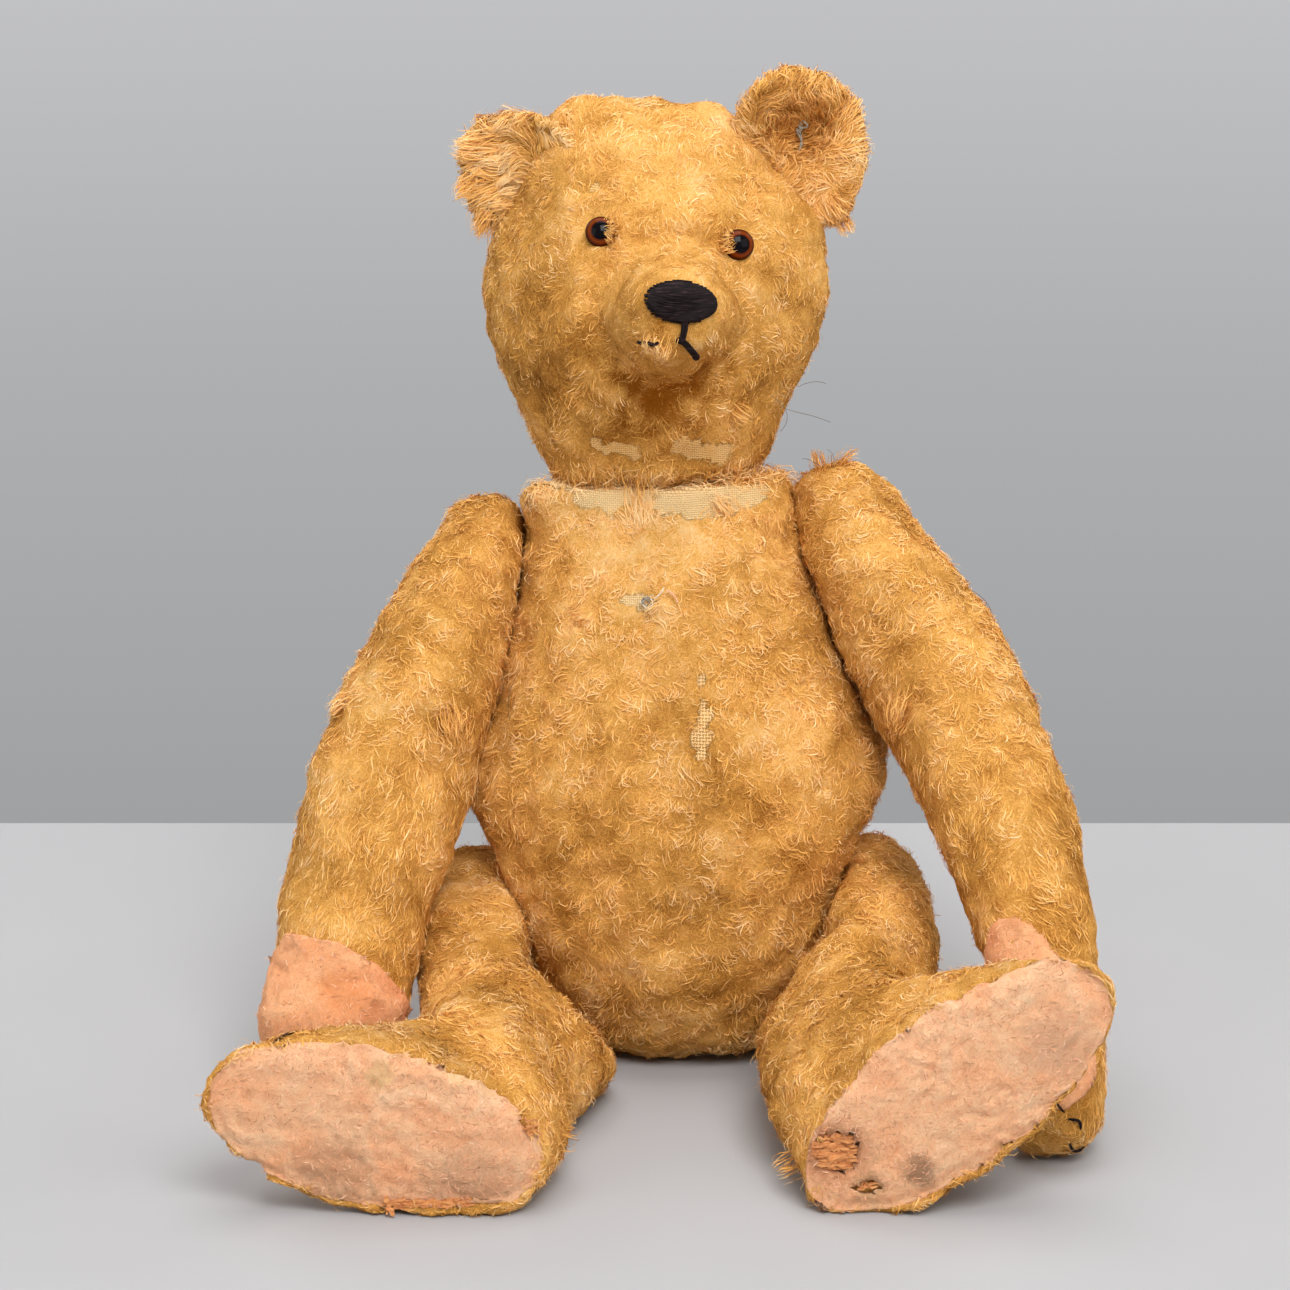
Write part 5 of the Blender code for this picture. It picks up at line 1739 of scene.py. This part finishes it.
def make_wood_wool():
    """The shavings that show through the worn soles and the split seam."""
    rng = dice("shavings")
    spots = []
    for _ in range(70):
        x, z = rng.uniform(32.0, 41.0), rng.uniform(13.0, 22.4)
        tilt = math.radians(rng.normal(-5, 8))
        room = 6.2 * math.sqrt(max(0.05, 1 - ((z - 17.6) / 5.4) ** 2))
        reach, deep = min(rng.uniform(2.0, 4.6), room), rng.uniform(-130.6, -129.2)
        x = min(max(x, 36.4 - room + reach), 36.4 + room - reach)
        step = np.array([math.cos(tilt) * reach, rng.normal() * 0.15, math.sin(tilt) * reach])
        spots.append((np.array([x, deep, z]) - step, np.array([x, deep, z]) + step, rng.uniform(0.3, 0.7)))
    for x, z in ((45.0, 7.6), (44.2, 7.2), (45.8, 8.1), (45.2, 8.5)):
        spots.append((np.array([x - 2.2, -130.4, z]), np.array([x + 2.2, -130.6, z + 0.5]), 0.35))
    shavings("wood_wool_right_sole", spots, "leg_right")
    spots = []
    for _ in range(34):
        x = rng.uniform(-79.0, -56.0)
        z = 3.1 + 0.5 * rng.normal() + 0.03 * abs(x + 68)
        step = np.array([rng.uniform(2.0, 5.0), rng.normal() * 0.3, rng.normal() * 0.35])
        middle = np.array([x, rng.uniform(-130.9, -130.1), max(z, 1.6)])
        spots.append((middle - step, middle + step, rng.uniform(0.2, 0.42)))
    spots.append((np.array([-79.0, -131.4, 5.8]), np.array([-77.2, -132.6, 0.6]), 0.75))
    spots.append((np.array([-77.8, -131.2, 4.0]), np.array([-78.9, -132.2, 0.9]), 0.4))
    for x, z in ((-41.8, 26.4), (-41.2, 25.0), (-41.9, 23.8), (-40.9, 22.9)):
        spots.append((np.array([x - 1.9, -130.6, z]), np.array([x + 1.9, -130.4, z - 0.6]), 0.35))
    shavings("wood_wool_left_sole", spots, "leg_left")


def make_fluff(name, surface, count, body, facing):
    """Loose fibres raised on a felt piece."""
    rng = dice(name)
    spots, normals = surface.scatter(count, lambda middles: np.ones(len(middles)), rng)
    keep = normals @ np.array(facing, float) > 0.1
    spots, normals = spots[keep], normals[keep]
    total = len(spots)
    ways = unit(along_cover(rng.normal(size=(total, 3)), normals))
    length = rng.uniform(0.8, 2.6, total)
    share = np.array([0, 0.5, 1.0])
    path = spots[:, None] + ways[:, None] * (share[None, :] * length[:, None])[:, :, None]
    lift = np.array([0.0, 1.0, 0.75])[None, :] * rng.uniform(0.1, 0.55, total)[:, None]
    path = path + normals[:, None] * lift[:, :, None]
    bow = np.array([0, 0.35, 0])[None, :, None] * rng.normal(size=(total, 1, 1))
    path += np.cross(normals, ways)[:, None] * bow
    up = np.repeat(normals[:, None], 3, 1)
    shade = 0.5 + 0.22 * rng.normal(size=total)
    half, twist = rng.uniform(0.05, 0.10, total), 0.6 * rng.normal(size=total)
    fibres = (path, up, half, twist, shade, np.full(total, 0.5), (-0.05, 0.15))
    bind(ribbons(name, [fibres], FLUFF), body, "felt")


def make_mends():
    """Knots and ends of thread: on the chest, and in the crease of an ear."""
    body, ear = SURFACES["body"], SURFACES["ear_right"]
    rng = dice("mends")
    knot = np.array([-11.9, -7.0, 130.6])
    loops = []
    for turn in range(5):
        angle = np.linspace(0, 4.6, 9) + turn * 1.3
        size = 0.8 + 0.3 * turn
        ring = knot + np.stack([np.cos(angle) * size, 0 * angle, np.sin(angle) * size * 0.8], 1)
        ring = ring + 0.25 * rng.normal(size=(9, 3))
        loops.append((laid(body, ring, 1.1 + 0.8 * np.sin(angle * 0.5) ** 2), 0.22))
    bind(threads("chest_knot", loops, GREY_THREAD), "torso", "thread")
    ends = [[(-14.2, -6.5, 130.8), (-12.6, -7.0, 129.4), (-10.6, -7.2, 129.2), (-9.4, -7.4, 130.6),
             (-10.6, -7.2, 131.8)],
            [(-9.4, -7.0, 131.6), (-7.8, -7.0, 132.8), (-7.2, -6.6, 134.8)]]
    routes = [(laid(body, end, 1.8), 0.2) for end in ends]
    bind(threads("chest_thread_ends", routes, PALE_THREAD), "torso", "thread")
    end = [(-6.4, -6.0, 133.8), (-5.6, -6.2, 133.2), (-4.6, -6.4, 132.4), (-4.2, -6.6, 130.8)]
    bind(threads("pink_thread", [(laid(body, end, 1.7), 0.25)], PINK_THREAD), "torso", "thread")
    loops = []
    for turn in range(7):
        line = [(30.4 + 0.3 * turn, 42.0, 250.0 + 0.55 * turn + 1.2 * k) for k in range(3)]
        bent = np.array(line) + 0.3 * rng.normal(size=(3, 3))
        bent = bent + np.array([[-0.5, 0, 0], [0.6, 0, 0], [-0.3, 0, 0]])
        loops.append((laid(ear, bent, [0.4, 1.5, 0.6]), 0.28))
    bind(threads("ear_knot", loops, GREY_THREAD), "head", "thread")


# Loose hairs caught in the pile: body, then the points each passes through.
HAIRS = {
    "head": [
        [(25, 26, 179), (30, 25, 177.6), (35, 25, 176.6), (39.5, 26, 174.6)],
        [(22, 10, 186), (26.5, 8, 183), (27, 8, 178), (25, 10, 175.5)],
        [(30, 20, 186), (35, 22, 188), (38, 24, 186)],
    ],
    "arm_right": [
        [(74, 20, 130), (81, 20, 127.5), (86, 20, 121), (87, 20, 114)],
        [(38, 24, 161), (34, 22, 165.5), (31.5, 22, 165)],
        [(40, 24, 161.5), (41.5, 23, 166), (38.5, 23, 167.5)],
    ],
    "torso": [
        [(-41, 20, 158.5), (-45, 16, 156.5), (-47, 12, 151)],
        [(-47, -8, 112), (-51.5, -10, 106), (-50, -10, 98)],
    ],
}


HAIR_RADIUS = 0.07


def make_hairs():
    """Loose dark hairs, each a thread of its own."""
    for body, routes in HAIRS.items():
        lines = [(route, HAIR_RADIUS) for route in routes]
        bind(threads("loose_hairs_" + body, lines, LOOSE_HAIR, 0), body, "thread")


# ------------------------------------------------------------------ the room


# In metres: how far back the table top reaches, and the camera's place and aim.
TABLE_BACK = 0.211
CAMERA_AT, CAMERA_AIM = (-0.0125, -1.2557, 0.4535), (-0.0125, 0, 0.117)
LENS_LENGTH, SENSOR_WIDTH = 130.6, 36.0
# Square lamps: name, place, size and power. All of them point at LAMPS_AIM.
LAMPS_AIM = (0, 0, 0.12)
LAMPS = [
    ("key", (0.35, -1.45, 1.65), 1.0, 36.0), ("fill_left", (-1.4, -1.2, 0.9), 1.2, 6.5),
    ("fill_right", (1.4, -1.2, 0.9), 1.2, 6.5), ("top", (0.0, 0.1, 1.9), 1.3, 17.0),
    ("back_left", (-1.3, 1.3, 1.1), 1.1, 9.0), ("back_right", (1.3, 1.3, 1.1), 1.1, 9.0),
]
TABLE_TONES = [(0.3, (0.378, 0.376, 0.384)), (0.7, (0.404, 0.402, 0.410))]
WALL_TONES = [(0.19, (0.340, 0.342, 0.347)), (0.30, (0.425, 0.430, 0.440)), (0.39, (0.555, 0.555, 0.575))]
ROOM_LIGHT = 0.38


def make_table():
    """A pale painted table top."""
    shape = bmesh.new()
    bmesh.ops.create_grid(shape, x_segments=1, y_segments=1, size=1.0)
    for vert in shape.verts:
        vert.co = Vector((vert.co.x * 4, TABLE_BACK if vert.co.y > 0 else -4, 0))
    table = linked_shape("table_top", shape)
    finish, tree, shader = new_material("painted_table", 0.75, 0.2)
    painted(tree, shader, ramp(tree, noise(tree, own_place(tree), 0.004, 3, 0.5), TABLE_TONES))
    table.data.materials.append(finish)


def make_world():
    """A grey wall for the camera, and a soft even light for everything else."""
    world = bpy.data.worlds.new("studio")
    bpy.context.scene.world = world
    world.use_nodes = True
    tree = world.node_tree
    tree.nodes.clear()
    way = tree.nodes.new("ShaderNodeTexCoord").outputs["Generated"]
    wall = ramp(tree, plus(tree, three_of(tree, way)[2], 0.5), WALL_TONES)
    seen = add(tree, "Background", Strength=1.0)
    tree.links.new(wall, seen.inputs["Color"])
    soft = add(tree, "Background", Strength=ROOM_LIGHT)
    soft.inputs["Color"].default_value = (1.0, 1.0, 1.0, 1.0)
    path = tree.nodes.new("ShaderNodeLightPath")
    direct = maths(tree, "MAXIMUM", path.outputs["Is Glossy Ray"], path.outputs["Is Transmission Ray"])
    direct = maths(tree, "MAXIMUM", path.outputs["Is Camera Ray"], direct)
    mix = tree.nodes.new("ShaderNodeMixShader")
    tree.links.new(direct, mix.inputs[0])
    tree.links.new(soft.outputs[0], mix.inputs[1])
    tree.links.new(seen.outputs[0], mix.inputs[2])
    tree.links.new(mix.outputs[0], tree.nodes.new("ShaderNodeOutputWorld").inputs[0])


def look_at(thing, place, aim):
    """Puts a lamp or camera at a place and points it."""
    thing.location = place
    thing.rotation_euler = (Vector(aim) - Vector(place)).to_track_quat("-Z", "Y").to_euler()


def make_stage():
    """The table, the wall beyond it, soft studio lamps and the camera."""
    make_table()
    make_world()
    for name, place, size, power in LAMPS:
        lamp = bpy.data.lights.new(name, "AREA")
        lamp.shape = "SQUARE"
        lamp.size = size
        lamp.energy = power
        look_at(linked(name, lamp), place, LAMPS_AIM)
    lens = bpy.data.cameras.new("camera")
    lens.lens, lens.sensor_width = LENS_LENGTH, SENSOR_WIDTH
    camera = linked("camera", lens)
    look_at(camera, CAMERA_AT, CAMERA_AIM)
    scene = bpy.context.scene
    scene.camera = camera
    scene.view_settings.view_transform = "Standard"


# ------------------------------------------------------------------ putting it together

make_stage()
PILE = pile_material()
BACKING = backing_material()
BLACK_THREAD = thread_material()
PALE_THREAD = plain_fibre("pale_mending_thread", (0.50, 0.38, 0.24), (0.92, 0.78, 0.58), 0.8, 2.0)
GREY_THREAD = plain_fibre("grey_mending_thread", (0.08, 0.065, 0.05), (0.42, 0.35, 0.26), 0.8, 2.0)
PINK_THREAD = plain_fibre("pink_thread_end", (0.62, 0.26, 0.15), (0.95, 0.55, 0.36), 0.8, 2.0)
LOOSE_HAIR = plain_fibre("loose_dark_hair", (0.03, 0.018, 0.01), (0.22, 0.13, 0.07), 0.7, 1.0)
SHAVINGS = plain_fibre("stained_shavings", (0.40, 0.12, 0.030), (0.84, 0.38, 0.13), 0.8, 0.9, 0.0,
                       (3.0, 1.0, 0.5))
FLUFF = fluff_material()
WOOD_WOOL = plain_fibre("wood_wool_shavings", (0.30, 0.15, 0.06), (0.66, 0.42, 0.20), 0.8, 0.6)
CARD = plain_fibre("grey_brown_card", (0.20, 0.13, 0.08), (0.36, 0.25, 0.16), 0.9, 0.5)
STEEL = steel_material()

NEIGHBOURS = {part: solid_tree(node) for part, node in COVER_OF.items()}
SURFACES = {}
for part in COVER_OF:
    SURFACES[part] = make_cover(part)
pads = {}
for side in ("left", "right"):
    pads["sole_" + side] = felt_sole(side)
    pads["paw_" + side] = paw_felt(side)
    CLEARINGS["head"].append((eye_place(side)[0], EYE_CLEAR))
    make_eye(side)
for u in np.linspace(-0.62, 0.62, 5):
    CLEARINGS["head"].append((nose_spot(SURFACES["head"], u, 0.0, 0.0), 5.2 - 1.4 * abs(u)))
make_nose(SURFACES["head"])
make_mouth(SURFACES["head"])
PRESSING = {
    part: [tree for body, tree in NEIGHBOURS.items() if BODY_OF[body] != BODY_OF[part]]
    + ([surface_tree(pads["paw_" + part[4:]])] if part.startswith("arm") else [])
    for part in COVER_OF
}
for part, surface in SURFACES.items():
    make_pile(part, surface)

for side in ("left", "right"):
    make_claws("foot_claws_" + side, "leg_" + side)
    make_claws("paw_claws_" + side, "arm_" + side)
    make_fluff("felt_fluff_sole_" + side, pads["sole_" + side], 4600, "leg_" + side, (0, -1, 0))
    make_fluff("felt_fluff_paw_" + side, pads["paw_" + side], 1500, "arm_" + side, (0, -0.8, 0.4))
for part in ("body", "head", "arm_left", "arm_right", "leg_left", "leg_right"):
    make_stuffing(part)
make_wood_wool()
make_mends()
make_hairs()

# The joints' own materials, by what a node's name says it is.
INSIDE = {"board": CARD, "disc": CARD, "washer": STEEL, "pin": STEEL}
for name, node in frame["nodes"].items():
    finish = next((made for word, made in INSIDE.items() if word in name), None)
    if finish:
        node.data.materials.clear()
        node.data.materials.append(finish)
